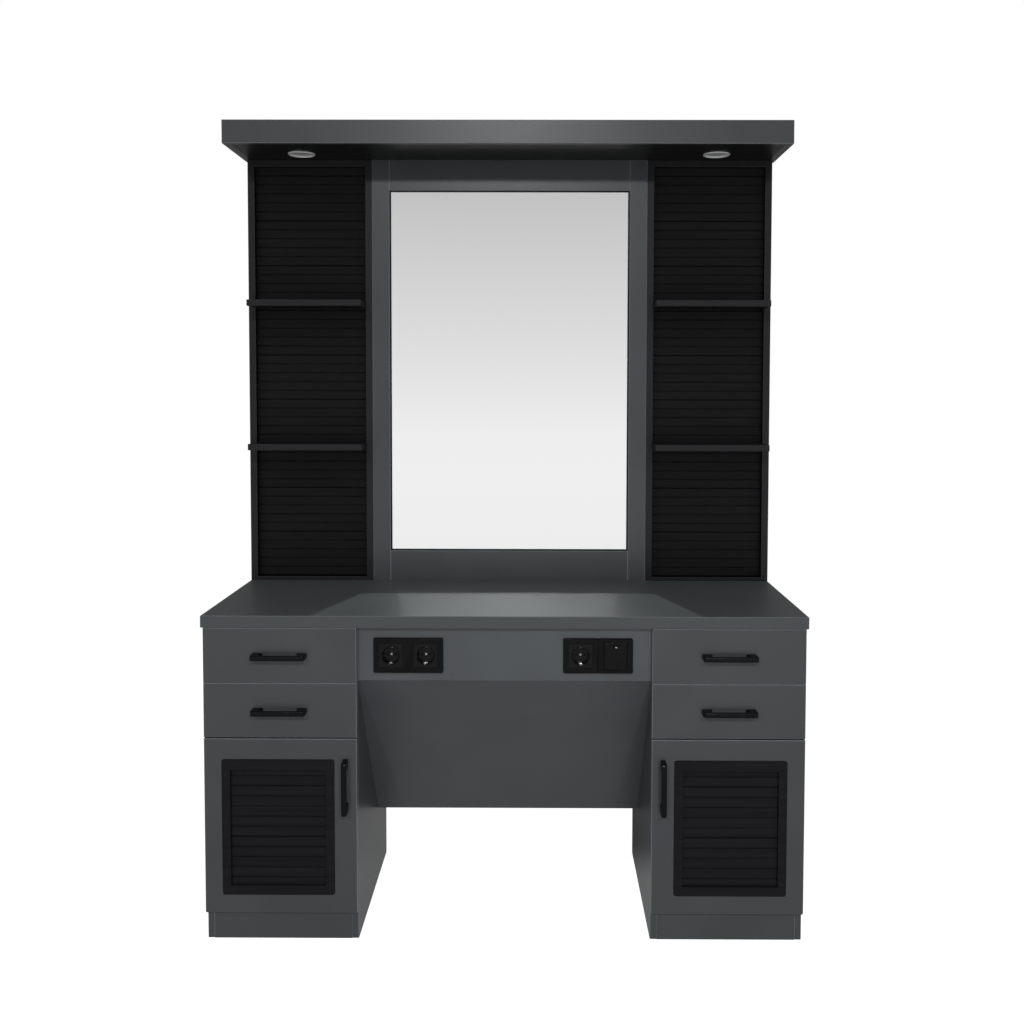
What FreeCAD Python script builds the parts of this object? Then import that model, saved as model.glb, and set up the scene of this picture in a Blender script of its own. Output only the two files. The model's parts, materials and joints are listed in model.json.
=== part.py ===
import FreeCAD, Part
import math
import os

# Salon station: two drawer pedestals under one worktop, a sloped knee panel, and a slatted wall
# with a framed mirror, four small shelves and a lit canopy.
# Millimetres. +X to the user's right, -Y towards the user, +Z up.
# Origin: on the floor, in the middle of the width and of the depth over the handles.

V = FreeCAD.Vector
X_AXIS = V(1, 0, 0)
Y_AXIS = V(0, 1, 0)
Z_AXIS = V(0, 0, 1)
TOUCH = 1e-4                      # two coordinates closer than this are in one plane

# ---------------------------------------------------------------- driving sizes
# whole station
worktop_width = 1400.0
station_depth = 480.0
worktop_height = 767.0            # floor to the worktop's upper face
worktop_thickness = 28.0
wall_height = 1129.0              # worktop to the canopy's underside
wall_depth = 36.0
edge_ease = 1.2                   # eased edges of the bands

# boards
wall_board = 18.0                 # posts, apron, knee panel and canopy
carcass_board = 16.0
front_board = 16.0                # drawer fronts and doors
back_board = 6.0

# pedestals
pedestal_width = 354.0
pedestal_inset = 5.0              # worktop's end to the pedestal's side
front_setback = 2.0               # worktop's front edge to the fronts
front_air = 2.0                   # fronts' back to the carcass's front edges
door_reveal = 3.0                 # gap above the doors
drawer_reveal = 1.0               # gap above each drawer front
plinth_height = 70.0
drawer_front_height = 127.0
top_rail_width = 80.0
back_groove_depth = 6.0
back_groove_inset = 12.0          # rear edge to the groove
shelf_lift = 190.0                # pedestal's floor to the loose shelf
shelf_end_gap = 0.5
shelf_depth_gap = 30.0            # loose shelf's front edge behind the carcass front
bracket_leg = 16.0                # angle brackets under the loose shelf
bracket_width = 20.0
bracket_steel = 2.0
bracket_edge = 40.0               # loose shelf's front and rear edge to its brackets

# drawer boxes and their slides
drawer_side = 12.0
drawer_box_height = 90.0
drawer_box_lift = 12.0            # drawer front's lower edge to the box's lower edge
drawer_back_gap = 44.0            # drawer box to the pedestal's back panel
drawer_base = 5.0
drawer_base_lift = 9.0
drawer_groove_depth = 6.0
slide_space = 12.7                # gable to drawer side
slide_height = 35.0
slide_steel = 1.5
slide_clearance = 0.3
slide_lift = 28.0                 # box's lower edge to the slide's lower edge

# bow handles
handle_length = 126.0
handle_projection = 30.0
handle_bar = 9.0                  # bar's thickness, front to back
handle_height = 12.0
handle_foot = 24.0
handle_corner = 12.0
handle_inner_corner = 7.0
handle_ease = 2.0
door_handle_drop = 110.0          # door's upper edge to the handle's centre

# door insets
inset_outer_margin = 41.0         # door's hinged edge to the inset
inset_free_margin = 52.0          # door's free edge to the inset, with the handle in its middle
inset_bottom_margin = 43.0
inset_top_margin = 48.0
inset_border = 20.0
inset_bottom_border = 22.0
inset_top_border = 25.0
inset_lip = 8.0                   # lip's overlap over the door
inset_proud = 3.0
inset_outer_corner = 6.0
inset_ease = 1.0
door_plank_joint = 113.0          # inset opening's lower edge to the first plank joint

# pivot hinges and catches
pivot_edge = 5.0                  # door's hinged edge to the pivot's axis
pivot_radius = 2.0
pivot_running = 0.05              # pivot to its bore in the door
pivot_length = 13.0
pivot_end_gap = 0.5               # pivot's end to the bottom of its bore
hinge_width = 8.0
hinge_tab = 2.0                   # tab in the gap above or below the door
hinge_leaf = 1.5                  # leaf let into the gable's front edge
hinge_leaf_length = 50.0
catch_length = 46.0
catch_height = 14.0
catch_depth = 16.0
catch_gap = 0.3

# apron and knee panel
apron_height = 127.0
knee_run = 312.0                  # how far the knee panel slopes back
knee_rise = 427.0
cleat = 20.0
cleat_margin = 30.0

# sockets and switch
device_width = 80.5
device_proud = 9.0
device_corner = 3.0
double_margin = 38.0              # left pedestal to the double socket's frame
switch_margin = 44.0              # switch's frame to the right pedestal
device_drop = 66.5                # worktop's underside to the devices' centre line
insert_width = 55.0
insert_recess = 1.0
well_radius = 19.7
well_depth = 15.0
socket_block = 42.0               # square body behind the cover
well_floor = 2.5
pin_hole_radius = 2.6
pin_hole_spacing = 19.0
pin_hole_depth = 8.0
clip_width = 6.0
clip_thickness = 1.2
clip_length = 9.0
box_width = 66.0                  # square back boxes, let into the apron
box_wall = 2.0
box_depth = 45.0
rocker_width = 52.0
rocker_height = 63.0
rocker_gap = 0.8
rocker_thickness = 4.5
rocker_ease = 1.0
rocker_tilt = 3.0
rocker_axis_depth = 6.0           # device's front to the rocker's axis
rocker_pin_radius = 1.2
rocker_pin_running = 0.05
rocker_dimple_radius = 8.5
rocker_dimple_lift = 20.0
rocker_dimple_depth = 0.8
cradle_plate = 1.5
cradle_ear = 3.0
cradle_ear_inset = 3.2            # rocker's side to its ears
cradle_ear_wall = 0.8             # ear's material in front of the pin
cradle_ear_gap = 0.3              # ear to the rocker's rib
cradle_block = 22.0               # the switch's works behind the plate

# slats
plank_height = 120.0
plank_thickness = 10.0
plank_ribs = 5
groove_depth = 2.5
groove_floor = 1.5
groove_flank = 1.0
joint_gap = 1.0
tongue = 5.0
tongue_thickness = 3.0
tongue_clearance = 0.2
slat_recess = 20.0                # posts' front to the ribs' crests
wall_rail = 10.0
wall_top_rail = 18.0

# mirror
mirror_bay = 736.0                # between the inner posts
mirror_stile = 47.0
mirror_rail = 81.0
mirror_gap = 4.0                  # dark gap round the glass
mirror_glass_thickness = 5.0
mirror_glass_recess = 2.0
mirror_bevel = 1.0
mirror_carrier = 12.0             # board that carries the frame and the glass
mirror_backing_gap = 0.5

# wall shelves
shelf_board = 16.0
shelf_reach = 110.0               # ribs' crests to the shelf's front edge
lower_shelf_height = 1141.0       # floor to the shelves' upper faces
upper_shelf_height = 1518.0

# canopy and downlights
canopy_reach = 235.0              # rear face to the fascia's face
canopy_height = 58.0
canopy_overhang = 10.0            # beyond the wall's ends
light_x = 539.0
light_from_back = 107.0
light_radius = 35.0
light_hole_radius = 30.0
light_rim = 3.0
light_sleeve = 2.0
light_body_height = 32.0
lens_lift = 1.0
lens_thickness = 2.5

# ---------------------------------------------------------------- derived planes
handles_beyond = handle_projection - front_setback
rear = (station_depth + handles_beyond) / 2
front = rear - station_depth
worktop_under = worktop_height - worktop_thickness
half_top = worktop_width / 2
side_x = half_top - pedestal_inset            # pedestal's outer side
inner_x = side_x - pedestal_width             # pedestal's knee side
fronts_y = front + front_setback
fronts_back = fronts_y + front_board
carcass_y = fronts_back + front_air
back_panel_front = rear - back_groove_inset - back_board
drawer_box_length = back_panel_front - drawer_back_gap - fronts_back
bay_in = inner_x + carcass_board              # inner faces of the gables
bay_out = side_x - carcass_board

upper_top = worktop_under - drawer_reveal     # drawer fronts and doors, from the top down
upper_bottom = upper_top - drawer_front_height
lower_top = upper_bottom - drawer_reveal
lower_bottom = lower_top - drawer_front_height
door_top = lower_bottom - door_reveal
door_bottom = plinth_height
divider_middle = (door_top + lower_bottom) / 2
pedestal_floor = plinth_height + carcass_board

apron_back = carcass_y + wall_board
apron_bottom = worktop_under - apron_height
device_z = worktop_under - device_drop
device_front = carcass_y - device_proud

wall_front = rear - wall_depth
wall_back = rear - back_board                 # front face of the wall's back panel
wall_top = worktop_height + wall_height
inner_post = mirror_bay / 2
outer_post = half_top - wall_board
slat_front = wall_front + slat_recess
canopy_front = rear - canopy_reach
canopy_end = half_top + canopy_overhang
canopy_top = wall_top + canopy_height
back_half = canopy_end - wall_board           # the back panel meets the canopy's end boards
light_y = rear - light_from_back

pivot_x = side_x - pivot_edge
pivot_y = (fronts_y + fronts_back) / 2
tab_gap = (door_reveal - hinge_tab) / 2
rocker_x = inner_x - switch_margin - device_width / 2
rocker_axis_y = device_front + rocker_axis_depth


# ---------------------------------------------------------------- shared shapes
def box(x0, x1, y0, y1, z0, z1):
    return Part.makeBox(x1 - x0, y1 - y0, z1 - z0, V(x0, y0, z0))


def rod(radius, length, start, axis):
    return Part.makeCylinder(radius, length, start, axis)


def edges_in_plane(shape, axis, value):
    low, high = axis + "Min", axis + "Max"
    found = []
    for edge in shape.Edges:
        bounds = edge.BoundBox
        if abs(getattr(bounds, low) - value) < TOUCH and abs(getattr(bounds, high) - value) < TOUCH:
            found.append(edge)
    return found


def eased(shape, axis, value, size=edge_ease):
    """Ease every edge that lies in one plane, such as a board's edge-banded face."""
    return shape.makeChamfer(size, edges_in_plane(shape, axis, value))


def extruded(points, direction):
    outline = Part.makePolygon(points + [points[0]])
    return Part.Face(outline).extrude(direction)


def rounded_panel(x0, x1, y0, y1, z0, z1, corner):
    """A plate in the XZ plane with four rounded corners."""
    plate = box(x0, x1, y0, y1, z0, z1)
    corners = [edge for edge in plate.Edges if abs(edge.BoundBox.YLength - (y1 - y0)) < TOUCH]
    return plate.makeFillet(corner, corners)


def turned(shape, centre, axis, angle):
    copy = shape.copy()
    copy.rotate(centre, axis, angle)
    return copy


def mirrored(shape):
    return shape.mirror(V(0, 0, 0), X_AXIS)


def sided(shape, side):
    """A right-hand piece as it is, or mirrored for the left side."""
    return shape if side == "right" else mirrored(shape)


def pair(shape):
    """A right-hand piece and its mirror image."""
    return [mirrored(shape), shape]


def group(shapes):
    solids = []
    for shape in shapes:
        solids.extend(shape.Solids)
    return Part.makeCompound(solids)


def without(shape, cutters):
    for cutter in cutters:
        shape = shape.cut(cutter)
    return shape


def save(name, shape):
    shape.exportStep(os.path.join("parts", name + ".step"))


# ---------------------------------------------------------------- pedestals
def gable(outer):
    x0 = side_x - carcass_board if outer else inner_x
    board = box(x0, x0 + carcass_board, carcass_y, rear, 0, worktop_under)
    board = eased(board, "Y", carcass_y)
    face = bay_out if outer else bay_in
    into = 1 if outer else -1
    groove_x = sorted((face, face + into * back_groove_depth))
    groove = box(groove_x[0], groove_x[1], back_panel_front, back_panel_front + back_board,
                 plinth_height, worktop_under)
    seats = pivot_plates() if outer else []
    return without(board, [groove] + seats)


def pedestal_bottom():
    board = box(bay_in, bay_out, carcass_y, back_panel_front, plinth_height, pedestal_floor)
    return eased(board, "Y", carcass_y)


def plinth():
    return box(bay_in, bay_out, carcass_y, carcass_y + carcass_board, 0, plinth_height)


def pedestal_back():
    return box(bay_in - back_groove_depth, bay_out + back_groove_depth, back_panel_front,
               back_panel_front + back_board, plinth_height, worktop_under)


def pedestal_rails():
    """Two flat top rails and the divider between drawers and cupboard."""
    under_rail = worktop_under - carcass_board
    front_rail = box(bay_in, bay_out, carcass_y, carcass_y + top_rail_width, under_rail, worktop_under)
    rear_rail = box(bay_in, bay_out, back_panel_front - top_rail_width, back_panel_front,
                    under_rail, worktop_under)
    divider = box(bay_in, bay_out, carcass_y, back_panel_front,
                  divider_middle - carcass_board / 2, divider_middle + carcass_board / 2)
    return [front_rail, rear_rail, divider]


def loose_shelf():
    z0 = pedestal_floor + shelf_lift
    board = box(bay_in + shelf_end_gap, bay_out - shelf_end_gap, carcass_y + shelf_depth_gap,
                back_panel_front - shelf_end_gap, z0, z0 + carcass_board)
    return eased(board, "Y", carcass_y + shelf_depth_gap)


def shelf_brackets():
    """Steel angles on the gables, under the corners of the loose shelf."""
    top = pedestal_floor + shelf_lift
    front_y = carcass_y + shelf_depth_gap + bracket_edge
    rear_y = back_panel_front - bracket_edge - bracket_width
    brackets = []
    for y in (front_y, rear_y):
        for face, into in ((bay_in, 1), (bay_out, -1)):
            leaf_x = sorted((face, face + into * bracket_steel))
            flange_x = sorted((face, face + into * bracket_leg))
            leaf = box(*leaf_x, y, y + bracket_width, top - bracket_leg, top)
            flange = box(*flange_x, y, y + bracket_width, top - bracket_steel, top)
            brackets.append(leaf.fuse(flange).removeSplitter())
    return brackets


# ---------------------------------------------------------------- drawers
def slide_member(length, y0, z0, web_x, into, flange, low, high):
    """A channel along Y: its web at web_x, its flanges reaching into the gap."""
    web = [web_x, web_x + into * slide_steel]
    lips = [web_x, web_x + into * flange]
    channel = box(min(web), max(web), y0, y0 + length, z0 + low, z0 + high)
    lower = box(min(lips), max(lips), y0, y0 + length, z0 + low, z0 + low + slide_steel)
    upper = box(min(lips), max(lips), y0, y0 + length, z0 + high - slide_steel, z0 + high)
    return channel.fuse([lower, upper]).removeSplitter()


def slide_heights():
    return [bottom + drawer_box_lift + slide_lift for bottom in (upper_bottom, lower_bottom)]


def fixed_channels():
    """Outer slide members, screwed to the gables."""
    channels = []
    reach = slide_space - slide_steel - slide_clearance
    for z0 in slide_heights():
        for face, into in ((bay_in, 1), (bay_out, -1)):
            channel = slide_member(drawer_box_length, carcass_y + 1, z0, face, into, reach, 0, slide_height)
            channels += pair(channel)
    return channels


def drawer_slides(bottom):
    """Inner slide members, screwed to the drawer's sides."""
    z0 = bottom + drawer_box_lift + slide_lift
    low = slide_steel + slide_clearance
    reach = slide_space - slide_steel - slide_clearance
    y0 = fronts_back + drawer_side
    length = drawer_box_length - drawer_side
    near = slide_member(length, y0, z0, bay_in + slide_space, -1, reach, low, slide_height - low)
    far = slide_member(length, y0, z0, bay_out - slide_space, 1, reach, low, slide_height - low)
    return group([near, far])


def drawer_front(bottom):
    board = box(inner_x, side_x, fronts_y, fronts_back, bottom, bottom + drawer_front_height)
    return eased(board, "Y", fronts_y)


def drawer_box(bottom):
    """Two sides, an inner front, a back, and a base in their grooves."""
    x0 = bay_in + slide_space
    x1 = bay_out - slide_space
    y0 = fronts_back
    y1 = y0 + drawer_box_length
    z0 = bottom + drawer_box_lift
    z1 = z0 + drawer_box_height
    base_z = z0 + drawer_base_lift
    base = box(x0 + drawer_side - drawer_groove_depth, x1 - drawer_side + drawer_groove_depth,
               y0 + drawer_side - drawer_groove_depth, y1 - drawer_side + drawer_groove_depth,
               base_z, base_z + drawer_base)
    boards = [
        box(x0, x0 + drawer_side, y0, y1, z0, z1),
        box(x1 - drawer_side, x1, y0, y1, z0, z1),
        box(x0 + drawer_side, x1 - drawer_side, y0, y0 + drawer_side, z0, z1),
        box(x0 + drawer_side, x1 - drawer_side, y1 - drawer_side, y1, z0, z1),
    ]
    return group([board.cut(base) for board in boards] + [base])


def bow_handle():
    """Handle along X with its feet on the plane y = 0 and its middle at the origin."""
    half = handle_length / 2
    outer_y = -handle_projection
    inner_y = outer_y + handle_bar
    bend = handle_corner
    inner = handle_inner_corner
    foot = half - handle_foot
    lean = foot + handle_foot / 3
    slope = math.sqrt(0.5)

    def arc(start, through, end):
        return Part.Arc(V(*start, 0), V(*through, 0), V(*end, 0)).toShape()

    def line(start, end):
        return Part.makeLine(V(*start, 0), V(*end, 0))

    mid = bend * (1 - slope)
    mid_in = inner * (1 - slope)
    edges = [
        line((-half, 0), (-half, outer_y + bend)),
        arc((-half, outer_y + bend), (-half + mid, outer_y + mid), (-half + bend, outer_y)),
        line((-half + bend, outer_y), (half - bend, outer_y)),
        arc((half - bend, outer_y), (half - mid, outer_y + mid), (half, outer_y + bend)),
        line((half, outer_y + bend), (half, 0)),
        line((half, 0), (foot, 0)),
        line((foot, 0), (lean, inner_y + inner)),
        arc((lean, inner_y + inner), (lean - mid_in, inner_y + mid_in), (lean - inner, inner_y)),
        line((lean - inner, inner_y), (-lean + inner, inner_y)),
        arc((-lean + inner, inner_y), (-lean + mid_in, inner_y + mid_in), (-lean, inner_y + inner)),
        line((-lean, inner_y + inner), (-foot, 0)),
        line((-foot, 0), (-half, 0)),
    ]
    face = Part.Face(Part.Wire(edges))
    face.translate(V(0, 0, -handle_height / 2))
    bow = face.extrude(V(0, 0, handle_height))
    front_edges = [edge for edge in bow.Edges
                   if edge.BoundBox.ZLength < TOUCH and edge.BoundBox.YMin < outer_y + TOUCH]
    return bow.makeChamfer(handle_ease, front_edges)


def handle_at(centre_x, centre_z, upright):
    """A bow handle with its feet on the face of a front."""
    handle = bow_handle()
    if upright:
        handle = turned(handle, V(0, 0, 0), Y_AXIS, 90)
    handle.translate(V(centre_x, fronts_y, centre_z))
    return handle


def drawer_handle(bottom):
    return handle_at((inner_x + side_x) / 2, bottom + drawer_front_height / 2, False)


# ---------------------------------------------------------------- slats
def plank(x0, x1, crest_y, z0):
    """One ribbed plank with a tongue above and a rebate below, its joints in the grooves."""
    pitch = plank_height / plank_ribs
    floor_y = crest_y + groove_depth
    back_y = crest_y + plank_thickness
    half_floor = groove_floor / 2
    z1 = z0 + plank_height
    points = [V(x0, back_y, z0 + joint_gap / 2)]
    for rib in range(plank_ribs):
        low = z0 + rib * pitch
        start = low + (joint_gap / 2 if rib == 0 else half_floor)
        points.append(V(x0, floor_y, start))
        if rib == 0:
            points.append(V(x0, floor_y, low + half_floor))
        points.append(V(x0, crest_y, low + half_floor + groove_flank))
        points.append(V(x0, crest_y, low + pitch - half_floor - groove_flank))
        points.append(V(x0, floor_y, low + pitch - half_floor))
    points.append(V(x0, floor_y, z1 - joint_gap / 2))
    points.append(V(x0, back_y, z1 - joint_gap / 2))
    body = extruded(points, V(x1 - x0, 0, 0))
    tongue_y = back_y - tongue_thickness
    upper = box(x0, x1, tongue_y, back_y, z1 - joint_gap / 2, z1 + tongue)
    rebate = box(x0, x1, tongue_y - tongue_clearance, back_y, z0, z0 + tongue + tongue_clearance)
    return body.cut(rebate).fuse(upper).removeSplitter()


def planks(x0, x1, crest_y, z0, z1, first_joint):
    """Planks stacked from first_joint, cut to the opening z0 to z1."""
    opening = box(x0, x1, crest_y, crest_y + plank_thickness, z0, z1)
    below = math.ceil((first_joint - z0) / plank_height - TOUCH)
    above = math.ceil((z1 - first_joint) / plank_height - TOUCH)
    stack = []
    for index in range(-below, above):
        start = first_joint + index * plank_height
        piece = plank(x0, x1, crest_y, start).common(opening)
        stack += piece.Solids
    return stack


# ---------------------------------------------------------------- doors
def inset_bounds():
    x0, x1 = inner_x + inset_free_margin, side_x - inset_outer_margin
    z0, z1 = door_bottom + inset_bottom_margin, door_top - inset_top_margin
    return x0, x1, z0, z1


def inset_opening():
    x0, x1, z0, z1 = inset_bounds()
    return x0 + inset_border, x1 - inset_border, z0 + inset_bottom_border, z1 - inset_top_border


def door_board():
    board = box(inner_x, side_x, fronts_y, fronts_back, door_bottom, door_top)
    board = eased(board, "Y", fronts_y)
    x0, x1, z0, z1 = inset_bounds()
    opening = box(x0 + inset_lip, x1 - inset_lip, fronts_y, fronts_back, z0 + inset_lip, z1 - inset_lip)
    depth = pivot_length - tab_gap - hinge_tab + pivot_end_gap
    bores = [rod(pivot_radius + pivot_running, depth, V(pivot_x, pivot_y, edge_z), Z_AXIS * -out)
             for edge_z, out in pivot_ends()]
    return without(board, [opening] + bores)


def door_inset():
    """Black frame with a lip over the door, and the planks glued inside it."""
    x0, x1, z0, z1 = inset_bounds()
    lip = rounded_panel(x0, x1, fronts_y - inset_proud, fronts_y, z0, z1, inset_outer_corner)
    lip = eased(lip, "Y", fronts_y - inset_proud, inset_ease)
    sleeve = box(x0 + inset_lip, x1 - inset_lip, fronts_y, fronts_back, z0 + inset_lip, z1 - inset_lip)
    a0, a1, c0, c1 = inset_opening()
    opening = box(a0, a1, fronts_y - inset_proud, fronts_back, c0, c1)
    frame = lip.fuse(sleeve).removeSplitter().cut(opening)
    stack = planks(a0, a1, fronts_back - plank_thickness, c0, c1, c0 + door_plank_joint)
    return group([frame] + stack)


def door_handle():
    return handle_at(inner_x + inset_free_margin / 2, door_top - door_handle_drop, True)


def pivot_ends():
    """Height of the door's upper and lower edge, each with the way out of the door."""
    return ((door_top, 1), (door_bottom, -1))


def pivot_plates():
    """Cranked steel plates: a leaf in the gable's front edge and a tab over the door's edge."""
    x0, x1 = pivot_x - hinge_width / 2, pivot_x + hinge_width / 2
    leaf_back = carcass_y + hinge_leaf
    plates = []
    for edge_z, out in pivot_ends():
        tab_z = sorted((edge_z + out * tab_gap, edge_z + out * (tab_gap + hinge_tab)))
        leaf_z = sorted((tab_z[0 if out > 0 else 1], edge_z - out * hinge_leaf_length))
        tab = box(x0, x1, pivot_y - hinge_width / 2, leaf_back, *tab_z)
        leaf = box(x0, x1, carcass_y, leaf_back, *leaf_z)
        plates.append(tab.fuse(leaf).removeSplitter())
    return plates


def pivot_pins():
    """Round pivots, from the tabs' outer faces into the door."""
    pins = []
    for edge_z, out in pivot_ends():
        start = V(pivot_x, pivot_y, edge_z + out * (tab_gap + hinge_tab))
        pins.append(rod(pivot_radius, pivot_length, start, Z_AXIS * -out))
    return pins


def pivot_hinges():
    """What stays on the gables: plates with their pivots riveted in, on both sides."""
    hinges = []
    for plate, pin in zip(pivot_plates(), pivot_pins()):
        hinges += pair(plate.fuse(pin).removeSplitter())
    return group(hinges)


def catch_plate():
    """Steel plate on the door's back that meets the magnetic catch."""
    top = divider_middle - carcass_board / 2
    return box(bay_in, bay_in + catch_length, fronts_back, carcass_y - catch_gap, top - catch_height, top)


def magnet_catch():
    top = divider_middle - carcass_board / 2
    return box(bay_in, bay_in + catch_length, carcass_y, carcass_y + catch_depth, top - catch_height, top)


# ---------------------------------------------------------------- apron, knee panel, devices
def socket_centres():
    outermost = -inner_x + double_margin + device_width / 2
    return [outermost, outermost + device_width, rocker_x - device_width]


def socket_apron():
    board = box(-inner_x, inner_x, carcass_y, apron_back, apron_bottom, worktop_under)
    half = box_width / 2
    holes = [box(x - half, x + half, carcass_y, apron_back, device_z - half, device_z + half)
             for x in socket_centres() + [rocker_x]]
    return without(eased(board, "Y", carcass_y), holes)


def knee_points(start_y, across, top, bottom):
    """Corners in the YZ plane of a board that slopes back as it goes down."""
    lean = knee_run / knee_rise
    upper = start_y + (apron_bottom - top) * lean
    lower = start_y + (apron_bottom - bottom) * lean
    return [(upper, top), (upper + across, top), (lower + across, bottom), (lower, bottom)]


def knee_panel():
    across = wall_board * math.hypot(knee_run, knee_rise) / knee_rise
    corners = knee_points(carcass_y, across, apron_bottom, apron_bottom - knee_rise)
    return extruded([V(-inner_x, y, z) for y, z in corners], V(2 * inner_x, 0, 0))


def knee_cleats():
    slant = math.hypot(knee_run, knee_rise) / knee_rise
    start = carcass_y + wall_board * slant
    corners = knee_points(start, cleat * slant, apron_bottom - cleat_margin,
                          apron_bottom - knee_rise + cleat_margin)
    return pair(extruded([V(inner_x - cleat, y, z) for y, z in corners], V(cleat, 0, 0)))


def device_frame(centres, opening_width, opening_height):
    """One frame over its devices: a plate with round corners and an opening for each."""
    half = device_width / 2
    plate = rounded_panel(min(centres) - half, max(centres) + half, device_front, carcass_y,
                          device_z - half, device_z + half, device_corner)
    w, h = opening_width / 2, opening_height / 2
    openings = [box(x - w, x + w, device_front, carcass_y, device_z - h, device_z + h) for x in centres]
    return without(plate, openings)


def device_frames():
    """A double frame on the left, and a socket's and a switch's frame side by side on the right."""
    sockets = socket_centres()
    return group([
        device_frame(sockets[:2], insert_width, insert_width),
        device_frame(sockets[2:], insert_width, insert_width),
        device_frame([rocker_x], rocker_width + 2 * rocker_gap, rocker_height + 2 * rocker_gap),
    ])


def socket_insert(x):
    """Square cover with a round well, two pin holes and the body behind it."""
    face_y = device_front + insert_recess
    floor_y = face_y + well_depth
    half = insert_width / 2
    cover = box(x - half, x + half, face_y, carcass_y, device_z - half, device_z + half)
    back_y = floor_y + pin_hole_depth + well_floor
    block = socket_block / 2
    body = box(x - block, x + block, carcass_y, back_y, device_z - block, device_z + block)
    well = rod(well_radius, well_depth, V(x, face_y, device_z), Y_AXIS)
    holes = [rod(pin_hole_radius, pin_hole_depth, V(x + s * pin_hole_spacing / 2, floor_y, device_z), Y_AXIS)
             for s in (-1, 1)]
    return without(cover.fuse(body), [well] + holes)


def rocker_ear_x():
    return rocker_width / 2 - cradle_ear_inset


def switch_cradle():
    """Base of the switch inside its frame, with two ears that hold the rocker's pins."""
    w, h = rocker_width / 2 + rocker_gap, rocker_height / 2 + rocker_gap
    body = box(rocker_x - w, rocker_x + w, carcass_y - cradle_plate, carcass_y, device_z - h, device_z + h)
    block = socket_block / 2
    body = body.fuse(box(rocker_x - block, rocker_x + block, carcass_y, carcass_y + cradle_block,
                         device_z - block, device_z + block))
    ear_front = rocker_axis_y - rocker_pin_radius - cradle_ear_wall
    for side in (-1, 1):
        outer, inner = rocker_ear_x(), rocker_ear_x() - cradle_ear
        low, high = sorted((rocker_x + side * outer, rocker_x + side * inner))
        body = body.fuse(box(low, high, ear_front, carcass_y, device_z - cradle_ear, device_z + cradle_ear))
    bore = rod(rocker_pin_radius + rocker_pin_running, rocker_width,
               V(rocker_x - rocker_width / 2, rocker_axis_y, device_z), X_AXIS)
    return body.cut(bore).removeSplitter()


def device_inserts():
    return group([socket_insert(x) for x in socket_centres()] + [switch_cradle()])


def socket_contacts():
    """Two earth clips in each well."""
    floor_y = device_front + insert_recess + well_depth
    pieces = []
    for x in socket_centres():
        for s in (-1, 1):
            edge = device_z + s * (well_radius - 1)
            heights = sorted((edge, edge - s * clip_thickness))
            pieces.append(box(x - clip_width / 2, x + clip_width / 2,
                              floor_y - clip_length, floor_y, *heights))
    return group(pieces)


def back_boxes():
    """Square boxes set into the apron, open to the front."""
    boxes = []
    half = box_width / 2
    room = half - box_wall
    for x in socket_centres() + [rocker_x]:
        outer = box(x - half, x + half, carcass_y, carcass_y + box_depth, device_z - half, device_z + half)
        hollow = box(x - room, x + room, carcass_y, carcass_y + box_depth - box_wall,
                     device_z - room, device_z + room)
        boxes.append(outer.cut(hollow))
    return boxes


def rocker():
    """Rocker plate with a round dimple, and the rib that carries its pins, in one of its two positions."""
    w, h = rocker_width / 2, rocker_height / 2
    plate_front = device_front - insert_recess
    plate_back = plate_front + rocker_thickness
    plate = box(rocker_x - w, rocker_x + w, plate_front, plate_back, device_z - h, device_z + h)
    plate = eased(plate, "Y", plate_front, rocker_ease)
    dimple = rod(rocker_dimple_radius, rocker_dimple_depth,
                 V(rocker_x, plate_front, device_z + rocker_dimple_lift), Y_AXIS)
    rib_x = rocker_ear_x() - cradle_ear - cradle_ear_gap
    rib = box(rocker_x - rib_x, rocker_x + rib_x, plate_back, rocker_axis_y,
              device_z - rocker_pin_radius, device_z + rocker_pin_radius)
    pin_start = V(rocker_x - rocker_ear_x(), rocker_axis_y, device_z)
    pin = rod(rocker_pin_radius, 2 * rocker_ear_x(), pin_start, X_AXIS)
    solid = plate.cut(dimple).fuse([rib, pin]).removeSplitter()
    return turned(solid, V(rocker_x, rocker_axis_y, device_z), X_AXIS, -rocker_tilt)


# ---------------------------------------------------------------- wall
def wall_post(outer):
    x0 = outer_post if outer else inner_post
    depth_end = rear if outer else wall_back
    post = box(x0, x0 + wall_board, wall_front, depth_end, worktop_height, wall_top)
    post = eased(post, "Y", wall_front)
    if outer:
        rebate = box(outer_post, back_half, wall_back, rear, worktop_height, wall_top)
        post = post.cut(rebate)
    return post


def wall_rails():
    """The rails below and above the slats."""
    rails = []
    for z0, z1 in ((worktop_height, worktop_height + wall_rail), (wall_top - wall_top_rail, wall_top)):
        rail = box(inner_post + wall_board, outer_post, wall_front, wall_back, z0, z1)
        rails += pair(eased(rail, "Y", wall_front))
    return rails


def slat_panel():
    z0 = worktop_height + wall_rail
    return planks(inner_post + wall_board, outer_post, slat_front, z0, wall_top - wall_top_rail, z0)


def wall_back_panel():
    return box(-back_half, back_half, wall_back, rear, worktop_height, canopy_top - wall_board)


def mirror_frame():
    """Two stiles and two rails, butt-jointed, on the carrier board."""
    opening = inner_post - mirror_stile
    frame_back = wall_back - mirror_carrier
    stile = eased(box(opening, inner_post, wall_front, frame_back, worktop_height, wall_top), "Y", wall_front)
    rails = []
    for z0 in (worktop_height, wall_top - mirror_rail):
        rail = box(-opening, opening, wall_front, frame_back, z0, z0 + mirror_rail)
        rails.append(eased(rail, "Y", wall_front))
    return group(pair(stile) + rails)


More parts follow.
